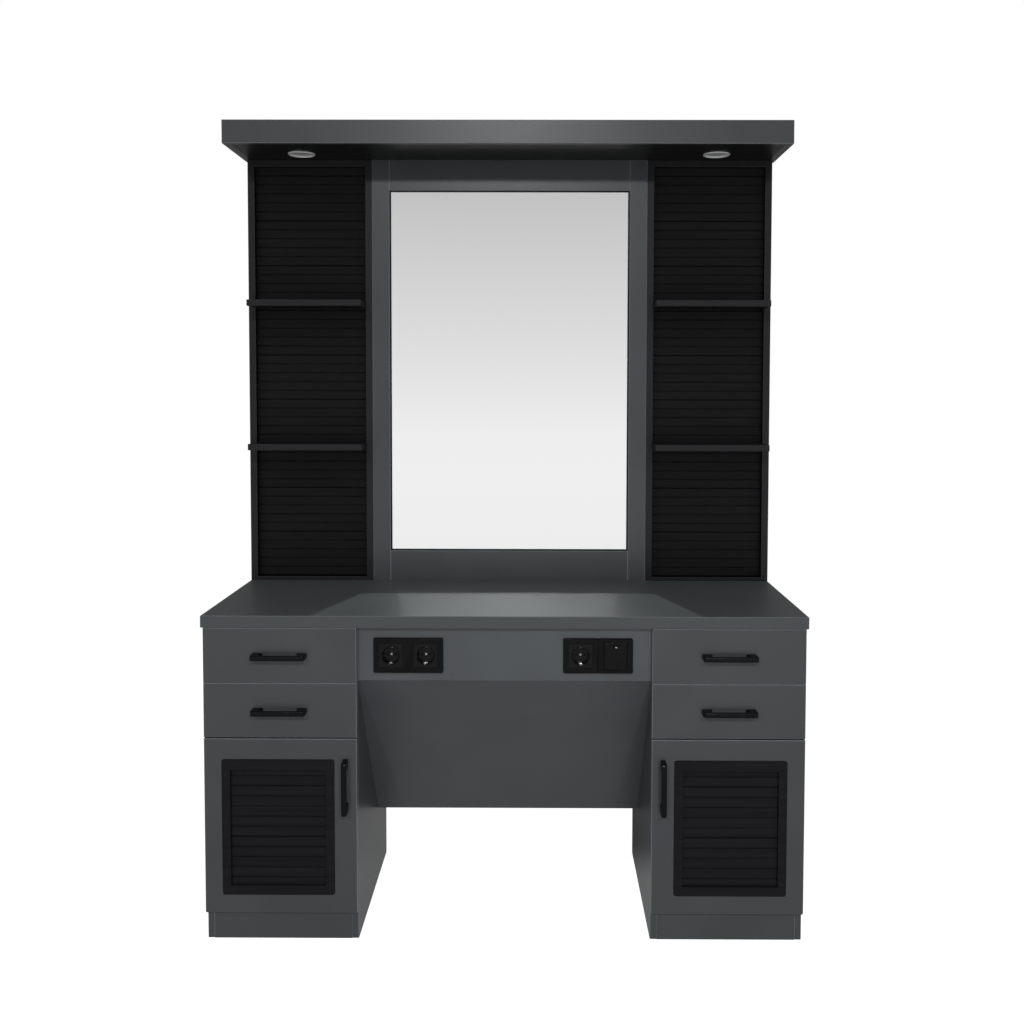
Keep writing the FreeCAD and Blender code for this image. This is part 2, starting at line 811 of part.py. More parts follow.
def mirror_glass():
    half = inner_post - mirror_stile - mirror_gap
    z0 = worktop_height + mirror_rail + mirror_gap
    z1 = wall_top - mirror_rail - mirror_gap
    y0 = wall_front + mirror_glass_recess
    sheet = box(-half, half, y0, y0 + mirror_glass_thickness, z0, z1)
    return eased(sheet, "Y", y0, mirror_bevel)


def mirror_backing():
    """The board that the glass is bonded to, and the carrier board behind it and the frame."""
    half = inner_post - mirror_stile - mirror_backing_gap
    z0 = worktop_height + mirror_rail + mirror_backing_gap
    z1 = wall_top - mirror_rail - mirror_backing_gap
    y0 = wall_front + mirror_glass_recess + mirror_glass_thickness
    carrier_y = wall_back - mirror_carrier
    backing = box(-half, half, y0, carrier_y, z0, z1)
    carrier = box(-inner_post, inner_post, carrier_y, wall_back, worktop_height, wall_top)
    return group([backing, carrier])


def wall_shelf(top):
    board = box(inner_post + wall_board, outer_post, slat_front - shelf_reach, slat_front,
                top - shelf_board, top)
    return eased(board, "Y", slat_front - shelf_reach)


# ---------------------------------------------------------------- canopy
def canopy_frame():
    fascia = box(-canopy_end, canopy_end, canopy_front, canopy_front + wall_board, wall_top, canopy_top)
    fascia = eased(fascia, "Y", canopy_front)
    end = box(canopy_end - wall_board, canopy_end, canopy_front + wall_board, rear, wall_top, canopy_top)
    return group([fascia] + pair(end))


def canopy_top_panel():
    return box(-back_half, back_half, canopy_front + wall_board, rear, canopy_top - wall_board, canopy_top)


def canopy_soffit():
    panel = box(-back_half, back_half, canopy_front + wall_board, wall_back, wall_top, wall_top + wall_board)
    holes = [rod(light_hole_radius, wall_board, V(x, light_y, wall_top), Z_AXIS) for x in (-light_x, light_x)]
    return without(panel, holes)


def downlight_trim():
    """Rim below the soffit with the sleeve and cap that hold the lamp."""
    centre = V(light_x, light_y, wall_top)
    rim = rod(light_radius, light_rim, centre - V(0, 0, light_rim), Z_AXIS)
    sleeve = rod(light_hole_radius, light_body_height, centre, Z_AXIS)
    hollow = rod(light_hole_radius - light_sleeve, light_rim + light_body_height - light_sleeve,
                 centre - V(0, 0, light_rim), Z_AXIS)
    return rim.fuse(sleeve).cut(hollow).removeSplitter()


def downlight_lens():
    centre = V(light_x, light_y, wall_top - light_rim + lens_lift)
    return rod(light_hole_radius - light_sleeve, lens_thickness, centre, Z_AXIS)


# ---------------------------------------------------------------- build
def build_pedestals():
    for side in ("left", "right"):
        save("gables_" + side, group([sided(gable(True), side), sided(gable(False), side)]))
    save("pedestal_bottoms", group(pair(pedestal_bottom())))
    save("plinth_boards", group(pair(plinth())))
    save("pedestal_backs", group(pair(pedestal_back())))
    rails = []
    for rail in pedestal_rails():
        rails += pair(rail)
    save("pedestal_rails", group(rails))
    save("loose_shelves", group(pair(loose_shelf())))
    brackets = []
    for bracket in shelf_brackets():
        brackets += pair(bracket)
    save("shelf_brackets", group(brackets))
    save("slide_channels", group(fixed_channels()))
    save("pivot_hinges", pivot_hinges())
    save("magnet_catches", group(pair(magnet_catch())))


def build_drawers_and_doors():
    for side in ("left", "right"):
        for level, bottom in (("upper", upper_bottom), ("lower", lower_bottom)):
            name = "drawer_" + side + "_" + level
            save(name + "_front", sided(drawer_front(bottom), side))
            save(name + "_box", sided(drawer_box(bottom), side))
            save(name + "_slides", sided(drawer_slides(bottom), side))
            save(name + "_handle", sided(drawer_handle(bottom), side))
        save("door_" + side + "_board", sided(door_board(), side))
        save("door_" + side + "_inset", sided(door_inset(), side))
        save("door_" + side + "_handle", sided(door_handle(), side))
        save("door_" + side + "_catch_plate", sided(catch_plate(), side))


def build_worktop_and_knee_space():
    top = box(-half_top, half_top, front, rear, worktop_under, worktop_height)
    bands = [edge for edge in top.Edges if edge.BoundBox.YMin < rear - TOUCH]
    save("worktop", top.makeChamfer(edge_ease, bands))
    save("socket_apron", socket_apron())
    save("knee_panel", knee_panel())
    save("knee_panel_cleats", group(knee_cleats()))
    save("device_frames", device_frames())
    save("device_inserts", device_inserts())
    save("socket_contacts", socket_contacts())
    save("back_boxes", group(back_boxes()))
    save("switch_rocker", rocker())


def build_wall():
    for side in ("left", "right"):
        posts = [sided(wall_post(True), side), sided(wall_post(False), side)]
        save("wall_posts_" + side, group(posts))
        save("slat_panel_" + side, group([sided(piece, side) for piece in slat_panel()]))
    save("wall_rails", group(wall_rails()))
    save("wall_back_panel", wall_back_panel())
    save("mirror_frame", mirror_frame())
    save("mirror_glass", mirror_glass())
    save("mirror_backing", mirror_backing())
    shelves = pair(wall_shelf(lower_shelf_height)) + pair(wall_shelf(upper_shelf_height))
    save("wall_shelves", group(shelves))


def build_canopy():
    save("canopy_frame", canopy_frame())
    save("canopy_top_panel", canopy_top_panel())
    save("canopy_soffit", canopy_soffit())
    save("downlight_trims", group(pair(downlight_trim())))
    save("downlight_lenses", group(pair(downlight_lens())))


def main():
    os.makedirs("parts", exist_ok=True)
    build_pedestals()
    build_drawers_and_doors()
    build_worktop_and_knee_space()
    build_wall()
    build_canopy()


main()
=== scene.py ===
"""Looks of the salon station: finishes, rounded fittings, small fasteners, light, floor and camera."""

import json
import logging
import math
from dataclasses import dataclass, field, replace
from enum import Enum
from typing import Any

import bmesh
import bpy
from mathutils import Matrix, Vector


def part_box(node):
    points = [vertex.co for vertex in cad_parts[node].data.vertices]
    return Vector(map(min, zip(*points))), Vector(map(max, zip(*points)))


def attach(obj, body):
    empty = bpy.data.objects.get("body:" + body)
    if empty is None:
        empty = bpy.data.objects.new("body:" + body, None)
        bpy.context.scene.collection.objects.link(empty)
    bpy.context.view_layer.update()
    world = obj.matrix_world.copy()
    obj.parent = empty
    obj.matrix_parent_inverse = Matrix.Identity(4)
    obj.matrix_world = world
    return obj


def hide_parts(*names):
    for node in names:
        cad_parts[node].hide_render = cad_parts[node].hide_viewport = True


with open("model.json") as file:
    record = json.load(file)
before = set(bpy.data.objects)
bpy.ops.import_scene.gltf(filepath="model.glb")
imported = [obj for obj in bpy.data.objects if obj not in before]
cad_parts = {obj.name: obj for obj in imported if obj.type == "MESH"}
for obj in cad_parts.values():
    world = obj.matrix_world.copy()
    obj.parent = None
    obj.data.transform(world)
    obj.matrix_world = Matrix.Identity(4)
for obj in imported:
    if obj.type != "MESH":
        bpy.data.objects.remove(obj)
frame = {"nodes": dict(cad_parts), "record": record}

LOG = logging.getLogger("salon_station")
MM = 0.001
NEAR = 1e-6
QUARTER = math.pi / 2
SHARP_ANGLE = math.radians(32)
CORNER_ANGLE = 1.0  # radians
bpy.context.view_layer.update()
# Nodes that take another finish than their slot's: lighter copies as painted light, and a darker one as
# painted shade.
OWN_FINISHES = {
    "device_inserts": "socket_core",
    "socket_apron": "apron_laminate",
    "knee_panel": "knee_laminate",
    # The canopy's soffit takes the dark shelf finish as painted shade under the canopy.
    "canopy_soffit": "shelf_laminate",
    "slat_panel_left": "wall_planks",
    "slat_panel_right": "wall_planks",
}


class Axis(Enum):
    """Directions along which a round part or a screw can point."""

    LEFT = Vector((-1, 0, 0))
    RIGHT = Vector((1, 0, 0))
    FRONT = Vector((0, -1, 0))
    BACK = Vector((0, 1, 0))
    UP = Vector((0, 0, 1))
    DOWN = Vector((0, 0, -1))

    def turn(self) -> Matrix:
        """Rotation that takes up to this direction."""
        return Axis.UP.value.rotation_difference(self.value).to_matrix()


Tree = bpy.types.NodeTree
Socket = bpy.types.NodeSocket
Shape = bmesh.types.BMesh
Piece = bpy.types.Object
Places = list[tuple[Vector, Axis]]


# Node trees
def linear(hex_colour: str) -> tuple[float, float, float, float]:
    """Turn an sRGB hex colour to linear RGBA.

    Args:
        hex_colour: Six hex digits after a hash.

    Returns:
        Red, green, blue and an alpha of one.
    """
    channels = [int(hex_colour[i : i + 2], 16) / 255 for i in (1, 3, 5)]
    bent = [c / 12.92 if c <= 0.04045 else ((c + 0.055) / 1.055) ** 2.4 for c in channels]
    return (bent[0], bent[1], bent[2], 1.0)


def add_node(tree: Tree, kind: str, inputs: dict[Any, Any] | None = None, **settings: Any) -> Any:
    """Add a node with its settings, values and links.

    Args:
        tree: The node tree to add to.
        kind: The node's type name, without the leading Shader word where it is a shader node.
        inputs: Input name or number to a value or to another node's output.
        **settings: Properties of the node itself.

    Returns:
        The new node.
    """
    node = tree.nodes.new("ShaderNode" + kind)
    for key, value in settings.items():
        setattr(node, key, value)
    for key, value in (inputs or {}).items():
        if isinstance(value, Socket):
            tree.links.new(value, node.inputs[key])
        else:
            node.inputs[key].default_value = value
    return node


def empty_tree(owner: bpy.types.Material | bpy.types.World) -> Tree:
    """Give a material or a world an empty node tree.

    Args:
        owner: The material or the world.

    Returns:
        Its node tree.
    """
    owner.use_nodes = True
    owner.node_tree.nodes.clear()
    return owner.node_tree


@dataclass(frozen=True)
class Grain:
    """A noise pattern given by the real size of its features."""

    size_mm: tuple[float, float, float]
    detail: float = 2.0
    roughness: float = 0.5

    def value(self, tree: Tree) -> Socket:
        """Add the pattern to a tree and return its value, about 0.5 on average.

        Args:
            tree: The node tree to add to.

        Returns:
            The noise's value output.
        """
        place = add_node(tree, "TexCoord").outputs["Object"]
        scale = [1 / (size * MM) for size in self.size_mm]
        mapped = add_node(tree, "Mapping", {"Vector": place, "Scale": scale})
        inputs = {"Vector": mapped.outputs[0], "Scale": 1.0, "Detail": self.detail}
        return add_node(tree, "TexNoise", {**inputs, "Roughness": self.roughness}).outputs[0]


def spread(tree: Tree, value: Socket, low: float, high: float) -> Socket:
    """Stretch the middle of a noise's range to the range from low to high.

    Args:
        tree: The node tree to add to.
        value: The noise's output.
        low: Result where the noise is 0.3 or less.
        high: Result where the noise is 0.7 or more.

    Returns:
        The mapped output.
    """
    inputs = {"Value": value, "From Min": 0.3, "From Max": 0.7, "To Min": low, "To Max": high}
    return add_node(tree, "MapRange", inputs).outputs[0]


def blend_colours(tree: Tree, share: Socket, first: Any, second: Any) -> Any:
    """Mix two colours, each a hex text or another node's output.

    Args:
        tree: The node tree to add to.
        share: Output that says how much of the second colour shows.
        first: Colour at 0.
        second: Colour at 1.

    Returns:
        The mixed colour's output.
    """
    ends = [linear(c) if isinstance(c, str) else c for c in (first, second)]
    return add_node(tree, "Mix", {0: share, 6: ends[0], 7: ends[1]}, data_type="RGBA").outputs[2]


def ramp(tree: Tree, value: Socket, stops: dict[float, str]) -> Socket:
    """Turn a value to a colour along a row of stops.

    Args:
        tree: The node tree to add to.
        value: Output that runs along the row.
        stops: Value of each stop, in rising order, and its hex colour.

    Returns:
        The colour's output.
    """
    low, high = min(stops), max(stops)
    share = add_node(tree, "MapRange", {"Value": value, "From Min": low, "From Max": high})
    node = add_node(tree, "ValToRGB", {0: share.outputs[0]})
    row = node.color_ramp.elements
    while len(row) < len(stops):
        row.new(0.5)
    for element, place in zip(row, stops):
        element.position = (place - low) / (high - low)
    for element, colour in zip(row, stops.values()):
        element.color = linear(colour)
    return node.outputs[0]


# Finishes
@dataclass(frozen=True)
class Finish:
    """A surface finish that can be turned into a material."""

    name: str
    colour: str
    second_colour: str
    roughness: float
    roughness_spread: float
    bump_mm: float

    cloud: Grain = Grain((160, 160, 160), 1.0)
    fine: Grain = Grain((2.5, 2.5, 2.5), 3.0, 0.6)

    def fixed_inputs(self) -> dict[str, Any]:
        """Values set on the surface shader's own sockets."""
        return {}

    def colour_output(self, tree: Tree) -> Any:
        """Colour that drifts between the finish's two colours.

        Args:
            tree: The node tree to add to.

        Returns:
            The colour's output.
        """
        share = spread(tree, self.cloud.value(tree), 0.0, 1.0)
        return blend_colours(tree, share, self.colour, self.second_colour)

    def roughness_output(self, tree: Tree) -> Any:
        """Roughness that varies a little with the fine pattern.

        Args:
            tree: The node tree to add to.

        Returns:
            The roughness output.
        """
        low = self.roughness - self.roughness_spread
        high = self.roughness + self.roughness_spread
        return spread(tree, self.fine.value(tree), low, high)

    def material(self) -> bpy.types.Material:
        """Make the material.

        Returns:
            A node material named after the finish.
        """
        made = bpy.data.materials.new(self.name)
        tree = empty_tree(made)
        height = self.fine.value(tree)
        bump = add_node(tree, "Bump", {"Strength": 1.0, "Distance": self.bump_mm * MM, "Height": height})
        inputs = {
            "Base Color": self.colour_output(tree),
            "Roughness": self.roughness_output(tree),
            "Normal": bump.outputs[0],
        }
        inputs.update(self.fixed_inputs())
        surface = add_node(tree, "BsdfPrincipled", inputs)
        add_node(tree, "OutputMaterial", {"Surface": surface.outputs[0]})
        return made


@dataclass(frozen=True)
class BoardFinish(Finish):
    """Melamine-faced chipboard: a hard, even, satin paper face with glossier plastic edge bands, which carry
    a painted highlight as a lighter colour.
    """

    # Lighter colour along eased edges: a painted highlight, not the band's own colour.
    edge_highlight_colour: str = "#6d7274"
    # Darker colour of faces that don't look up, so that the top reads as lit: painted light.
    side_shade_colour: str = ""
    edge_roughness: float = 0.3
    shine: float = 0.5
    flat_normal: float = 0.78
    edge_normal: float = 0.72
    upward: float = 0.5

    def fixed_inputs(self) -> dict[str, Any]:
        """How strongly the lacquered paper reflects."""
        return {"Specular IOR Level": self.shine}

    def edge_mask(self, tree: Tree) -> Socket:
        """Tell eased edges from flat faces by how far their normal is from every axis.

        Args:
            tree: The node tree to add to.

        Returns:
            Output that is 0 on flat faces and 1 on eased edges.
        """
        parts = add_node(tree, "SeparateXYZ", {0: add_node(tree, "TexCoord").outputs["Normal"]})
        sizes = [add_node(tree, "Math", {0: part}, operation="ABSOLUTE").outputs[0] for part in parts.outputs]
        pair = add_node(tree, "Math", {0: sizes[0], 1: sizes[1]}, operation="MAXIMUM").outputs[0]
        largest = add_node(tree, "Math", {0: pair, 1: sizes[2]}, operation="MAXIMUM").outputs[0]
        inputs = {"Value": largest, "From Min": self.flat_normal, "From Max": self.edge_normal}
        return add_node(tree, "MapRange", inputs).outputs[0]

    def colour_output(self, tree: Tree) -> Any:
        """The face's colour, with a painted highlight: a lighter band along eased edges.

        Args:
            tree: The node tree to add to.

        Returns:
            The colour's output.
        """
        face = Finish.colour_output(self, tree)
        # Painted light: faces that look up keep the lighter face colour, the sides take the darker one.
        if self.side_shade_colour:
            parts = add_node(tree, "SeparateXYZ", {0: add_node(tree, "TexCoord").outputs["Normal"]})
            level = add_node(tree, "Math", {0: parts.outputs[2]}, operation="ABSOLUTE").outputs[0]
            upper = add_node(tree, "Math", {0: level, 1: self.upward}, operation="GREATER_THAN").outputs[0]
            face = blend_colours(tree, upper, self.side_shade_colour, face)
        return blend_colours(tree, self.edge_mask(tree), face, self.edge_highlight_colour)

    def roughness_output(self, tree: Tree) -> Any:
        """The face's roughness, with the smoother band along eased edges.

        Args:
            tree: The node tree to add to.

        Returns:
            The roughness output.
        """
        inputs = {0: self.edge_mask(tree), 2: Finish.roughness_output(self, tree), 3: self.edge_roughness}
        return add_node(tree, "Mix", inputs).outputs[0]


@dataclass(frozen=True)
class MetalFinish(Finish):
    """Bare or plated metal: reflective, with the drawn or plated texture in its roughness."""

    def fixed_inputs(self) -> dict[str, Any]:
        """Fully metallic, at the shader's own index of refraction."""
        return {"Metallic": 1.0}


@dataclass(frozen=True)
class CoatedFinish(Finish):
    """Plastic or lacquer over a core: coloured below a clear, even gloss."""

    ior: float = 1.5
    shine: float = 0.5

    def fixed_inputs(self) -> dict[str, Any]:
        """Index of refraction, and how strongly the surface reflects."""
        return {"IOR": self.ior, "Specular IOR Level": self.shine}


@dataclass(frozen=True)
class MirrorFinish(Finish):
    """Silvered float glass: a perfect reflector in front, a ground greenish glass edge at its sides."""

    silver: str = "#f4f4f4"
    ior: float = 1.52
    front_limit: float = 0.97

    def material(self) -> bpy.types.Material:
        """Make the material: silver on the face, ground glass on the bevel and edges.

        Returns:
            A node material named after the finish.
        """
        made = bpy.data.materials.new(self.name)
        tree = empty_tree(made)
        parts = add_node(tree, "SeparateXYZ", {0: add_node(tree, "TexCoord").outputs["Normal"]})
        inward = add_node(tree, "Math", {0: parts.outputs[1], 1: -1.0}, operation="MULTIPLY")
        front = add_node(tree, "Math", {0: inward.outputs[0], 1: self.front_limit}, operation="GREATER_THAN")
        inputs = {"Base Color": linear(self.silver), "Metallic": 1.0, "Roughness": 0.0}
        silver = add_node(tree, "BsdfPrincipled", inputs)
        inputs = {"Base Color": self.colour_output(tree), "Roughness": self.roughness_output(tree)}
        edge = add_node(tree, "BsdfPrincipled", {**inputs, "IOR": self.ior})
        surface = add_node(tree, "MixShader", {0: front.outputs[0], 1: edge.outputs[0], 2: silver.outputs[0]})
        add_node(tree, "OutputMaterial", {"Surface": surface.outputs[0]})
        return made


def finishes() -> dict[str, Finish]:
    """Name the finish of every material slot.

    Returns:
        Slot name to finish.
    """
    made: dict[str, Finish] = {
        # Pressed laminate paper: its pearl is under half a millimetre, drawn at 2.5 mm so that it shows.
        "body_laminate": BoardFinish("anthracite_melamine_board", "#37393b", "#3b3d3f", 0.34, 0.03, 0.006),
        # The worktop's front and ends carry a plastic band; its top face is painted lighter than them, as
        # painted light on the top.
        "worktop_laminate": BoardFinish(
            "anthracite_worktop_board", "#484c4d", "#4b4f4f", 0.44, 0.03, 0.006,
            edge_highlight_colour="#585e5f", side_shade_colour="#424546", shine=0.33,
        ),
        "shelf_laminate": BoardFinish(
            "charcoal_melamine_board", "#1d1d1f", "#202022", 0.38, 0.03, 0.006,
            edge_highlight_colour="#2c2d2e", shine=0.2,
        ),
        "drawer_board": BoardFinish(
            "light_grey_melamine_board", "#65676a", "#6d6f72", 0.5, 0.05, 0.012, edge_highlight_colour="#7b7d80"
        ),
        # Black foil wrapped over ribs, embossed with fine lines 1 to 2 mm apart that run along the planks.
        "ribbed_panel": CoatedFinish(
            "embossed_black_foil", "#151517", "#1a1a1c", 0.42, 0.10, 0.05,
            cloud=Grain((260, 40, 9), 2.0), fine=Grain((90, 1.6, 1.6), 3.0, 0.6), shine=0.08,
        ),
        # Wet-process hardboard, lacquered: fibres a millimetre across under a thin dark coat.
        "back_hardboard": CoatedFinish(
            "lacquered_hardboard", "#242527", "#2c2d2f", 0.6, 0.08, 0.03,
            fine=Grain((1.6, 1.6, 1.6), 4.0, 0.6),
        ),
        # Zinc-plated cold-rolled strip: drawn lines about a millimetre apart along the runner.
        "slide_steel": MetalFinish(
            "zinc_plated_strip", "#9fa1a3", "#8b8e91", 0.32, 0.08, 0.01,
            cloud=Grain((30, 60, 30), 2.0), fine=Grain((0.8, 40, 0.8), 2.0, 0.6),
        ),
        "zinc_steel": MetalFinish(
            "zinc_plated_angle", "#a6a8a7", "#8f9192", 0.38, 0.08, 0.01, cloud=Grain((12, 12, 12), 2.0)
        ),
        # Powder coat: fine orange peel about 1.5 mm across.
        "black_steel": CoatedFinish(
            "black_powder_coat", "#161718", "#1b1c1d", 0.5, 0.05, 0.03, fine=Grain((1.5, 1.5, 1.5))
        ),
        # Cast zinc under a smooth black lacquer: soft gloss, slight waviness from the casting.
        "black_handle": CoatedFinish(
            "black_lacquered_casting", "#080b0c", "#0a0d0e", 0.30, 0.05, 0.03,
            fine=Grain((4, 4, 4)), shine=0.12,
        ),
        # Moulded PC/ABS with a fine spark-eroded texture, drawn at 1 mm.
        "socket_plastic": CoatedFinish(
            "black_moulded_abs", "#050506", "#070708", 0.20, 0.04, 0.008, fine=Grain((1, 1, 1)), shine=0.14
        ),
        # Nickel plate over pressed brass: warm, bright and smooth.
        "contact_metal": MetalFinish(
            "nickel_plated_brass", "#cfd0cc", "#b9bab5", 0.30, 0.05, 0.004, fine=Grain((0.6, 0.6, 0.6))
        ),
        "box_plastic": CoatedFinish("grey_polypropylene", "#343537", "#3b3c3e", 0.55, 0.05, 0.03),
        # Aluminium-coloured lacquer on a spun ring: even, light, faintly pearled.
        "light_trim": CoatedFinish(
            "satin_silver_lacquer", "#dfe0e1", "#d6d7d8", 0.36, 0.05, 0.006, fine=Grain((1.2, 1.2, 1.2))
        ),
        # Frosted polycarbonate: translucent white, greyish while the lamp is off.
        "light_lens": CoatedFinish(
            "frosted_polycarbonate", "#bcbcba", "#c4c4c2", 0.45, 0.05, 0.02, fine=Grain((2, 2, 2)), ior=1.58
        ),
        "mirror_glass": MirrorFinish("silvered_float_glass", "#b9c2be", "#c6cdca", 0.3, 0.05, 0.004),
    }
    # Lighter copies of the same surfaces as painted light: the apron, knee panel and wall planks are painted
    # lighter for the light that reaches them, and the socket inserts to lift the shade in their wells.
    for slot, origin, name, colour, second in (
        ("apron_laminate", "body_laminate", "anthracite_melamine_apron_painted_light", "#404345", "#45494b"),
        ("knee_laminate", "body_laminate", "anthracite_melamine_knee_painted_light", "#3d3f42", "#414346"),
        ("wall_planks", "ribbed_panel", "embossed_charcoal_foil_painted_light", "#323234", "#39393b"),
        ("socket_core", "socket_plastic", "black_moulded_polyamide_painted_light", "#0e0e0f", "#121213"),
    ):
        made[slot] = replace(made[origin], name=name, colour=colour, second_colour=second)
    return made


def into_mesh(shape: Shape, name: str) -> bpy.types.Mesh:
    """Turn a shape into a mesh and free it.

    Args:
        shape: The finished shape.
        name: The mesh's name.

    Returns:
        The mesh.
    """
    mesh = bpy.data.meshes.new(name)
    shape.to_mesh(mesh)
    shape.free()
    return mesh


def add_object(name: str, data: bpy.types.ID, matrix: Matrix | None = None) -> Piece:
    """Put a mesh, a lamp or a camera in the scene.

    Args:
        name: The object's name.
        data: Its mesh, lamp or camera.
        matrix: Its place, or none for the origin.

    Returns:
        The new object.
    """
    made = bpy.data.objects.new(name, data)
    if matrix is not None:
        made.matrix_world = matrix
    bpy.context.scene.collection.objects.link(made)
    return made


@dataclass
class Workshop:
    """Makes each finish once and hands it to CAD nodes and new pieces."""

    materials: dict[str, bpy.types.Material] = field(
        default_factory=lambda: {slot: finish.material() for slot, finish in finishes().items()}
    )

    def dress_nodes(self) -> None:
        """Give every CAD node the finish of its slot in the record, or its own finish where OWN_FINISHES
        names one.
        """
        for row in frame["record"]["subparts"]:
            mesh = frame["nodes"][row["node"]].data
            mesh.materials.clear()
            slot = OWN_FINISHES.get(row["node"], row["material_slot"])
            mesh.materials.append(self.materials[slot])
            LOG.info("dressed %s in %s", row["node"], slot)

    def finish_piece(self, shape: Shape, name: str, slot: str, body: str) -> Piece:
        """Turn a finished shape into a piece that rides on a body.

        Args:
            shape: The closed shape, already in place.
            name: The piece's name.
            slot: Material slot that it takes its finish from.
            body: Body that it moves with.

        Returns:
            The new object.
        """
        bmesh.ops.remove_doubles(shape, verts=shape.verts[:], dist=NEAR)
        bmesh.ops.recalc_face_normals(shape, faces=shape.faces[:])
        for face in shape.faces:
            face.smooth = True
        for edge in shape.edges:
            edge.smooth = edge.is_manifold and edge.calc_face_angle(0.0) < SHARP_ANGLE
        piece = add_object(name, into_mesh(shape, name))
        piece.data.materials.append(self.materials[slot])
        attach(piece, body)
        LOG.info("made %s on %s", name, body)
        return piece


# Shapes
def block(shape: Shape, low: Vector, high: Vector) -> None:
    """Add a box between two corners.

    Args:
        shape: The shape to add to.
        low: Lowest corner, in metres.
        high: Highest corner, in metres.
    """
    made = bmesh.ops.create_cube(shape, size=1.0)["verts"]
    bmesh.ops.scale(shape, vec=high - low, verts=made)
    bmesh.ops.translate(shape, vec=(low + high) / 2, verts=made)


def soften(shape: Shape, parts: list[Any], width: float, segments: int = 3, affect: str = "EDGES") -> None:
    """Round some edges, or some corners of a flat outline.

    Args:
        shape: The shape that they belong to.
        parts: The edges or corners to round.
        width: Radius of the rounding, in metres.
        segments: Faces across it.
        affect: EDGES or VERTICES.
    """
    bmesh.ops.bevel(
        shape, geom=parts, offset=width, offset_type="OFFSET", segments=segments,
        profile=0.5, affect=affect, material=-1, clamp_overlap=True,
    )


def edges_at(shape: Shape, axis: int, value: float) -> list[bmesh.types.BMEdge]:
    """Edges with both ends in the plane where one coordinate has a value.

    Args:
        shape: The shape to look through.
        axis: 0, 1 or 2 for X, Y or Z.
        value: The plane's place, in metres.

    Returns:
        The edges in that plane.
    """
    return [e for e in shape.edges if all(abs(v.co[axis] - value) < NEAR for v in e.verts)]


def edges_along(shape: Shape, axis: int) -> list[bmesh.types.BMEdge]:
    """Edges parallel to an axis.

    Args:
        shape: The shape to look through.
        axis: 0, 1 or 2 for X, Y or Z.

    Returns:
        The edges along that axis.
    """
    found = []
    for edge in shape.edges:
        step = edge.verts[1].co - edge.verts[0].co
        if all(abs(step[i]) < NEAR for i in range(3) if i != axis):
            found.append(edge)
    return found


def merge_into(shape: Shape, part: Shape) -> None:
    """Move a part's geometry into a shape.

    Args:
        shape: The shape that grows.
        part: The part, which is freed.
    """
    mesh = into_mesh(part, "part")
    shape.from_mesh(mesh)
    bpy.data.meshes.remove(mesh)


def push_out(shape: Shape, faces: list[bmesh.types.BMFace], step: tuple[float, float, float]) -> None:
    """Extrude some faces.

    Args:
        shape: The shape that they belong to.
        faces: The faces to extrude.
        step: How far the new ones move, in metres.
    """
    grown = bmesh.ops.extrude_face_region(shape, geom=faces)["geom"]
    moved = [v for v in grown if isinstance(v, bmesh.types.BMVert)]
    bmesh.ops.translate(shape, verts=moved, vec=step)


def set_in_place(shape: Shape, turn: Matrix, place: Vector) -> None:
    """Turn a whole shape about the origin and move it to its place.

    Args:
        shape: The shape.
        turn: The rotation.
        place: Where the origin goes, in metres.
    """
    bmesh.ops.rotate(shape, verts=shape.verts[:], cent=(0, 0, 0), matrix=turn)
    bmesh.ops.translate(shape, verts=shape.verts[:], vec=place)


def turned_profile(
    shape: Shape, profile: list[tuple[float, float]], centre: Vector, axis: Axis, steps: int
) -> None:
    """Spin a profile of radii and heights round an axis.

    Args:
        shape: The shape to add to.
        profile: Radius and height of each point, in metres.
        centre: Where height is zero.
        axis: Direction of growing height.
        steps: Faces round the turn.
    """
    part = bmesh.new()
    verts = [part.verts.new((radius, 0.0, height)) for radius, height in profile]
    edges = [part.edges.new(pair) for pair in zip(verts, verts[1:])]
    bmesh.ops.spin(
        part, geom=verts + edges, cent=(0, 0, 0), axis=(0, 0, 1), angle=math.tau, steps=steps, use_merge=True
    )
    bmesh.ops.remove_doubles(part, verts=part.verts[:], dist=NEAR / 10)
    set_in_place(part, axis.turn(), centre)
    merge_into(shape, part)


@dataclass(frozen=True)
class ScrewHead:
    """Round screw head with a crossed recess, flat or domed."""

    radius: float
    height: float
    dome: float = 0.0
    sides: int = 20
    easing_share: float = 0.6
    arm_share: float = 0.55
    slot_share: float = 0.13
    depth_share: float = 0.7

    def add(self, shape: Shape, seat: Vector, axis: Axis) -> None:
        """Add the head to a shape.

        Args:
            shape: The shape to add to.
            seat: Centre of the head's underside.
            axis: Direction that the head faces.
        """
        part = bmesh.new()
        bmesh.ops.create_circle(part, cap_ends=True, segments=self.sides, radius=self.radius)
        push_out(part, part.faces[:], (0, 0, self.height))
        soften(part, edges_at(part, 2, self.height), self.height * self.easing_share, 2)
        arm, thin = self.radius * self.arm_share, self.radius * self.slot_share
        for normal in (Axis.RIGHT.value, Axis.BACK.value):
            for away in (-arm, -thin, thin, arm):
                cap = self.cap(part)
                around = dict.fromkeys(piece for f in cap for piece in (*f.verts, *f.edges))
                bmesh.ops.bisect_plane(part, geom=[*around, *cap], plane_co=normal * away, plane_no=normal)
        cross = []
        for face in self.cap(part):
            middle = face.calc_center_median()
            across, along = sorted((abs(middle.x), abs(middle.y)))
            if across < thin and along < arm:
                cross.append(face)
        for vert in part.verts:
            if vert.co.z > NEAR:
                vert.co.z += self.dome * (1 - vert.co.xy.length_squared / self.radius**2)
        push_out(part, cross, (0, 0, -self.height * self.depth_share))
        set_in_place(part, axis.turn(), seat)
        merge_into(shape, part)

    def cap(self, part: Shape) -> list[bmesh.types.BMFace]:
        """The faces of the head's flat top."""
        return [f for f in part.faces if all(v.co.z > self.height - NEAR for v in f.verts)]


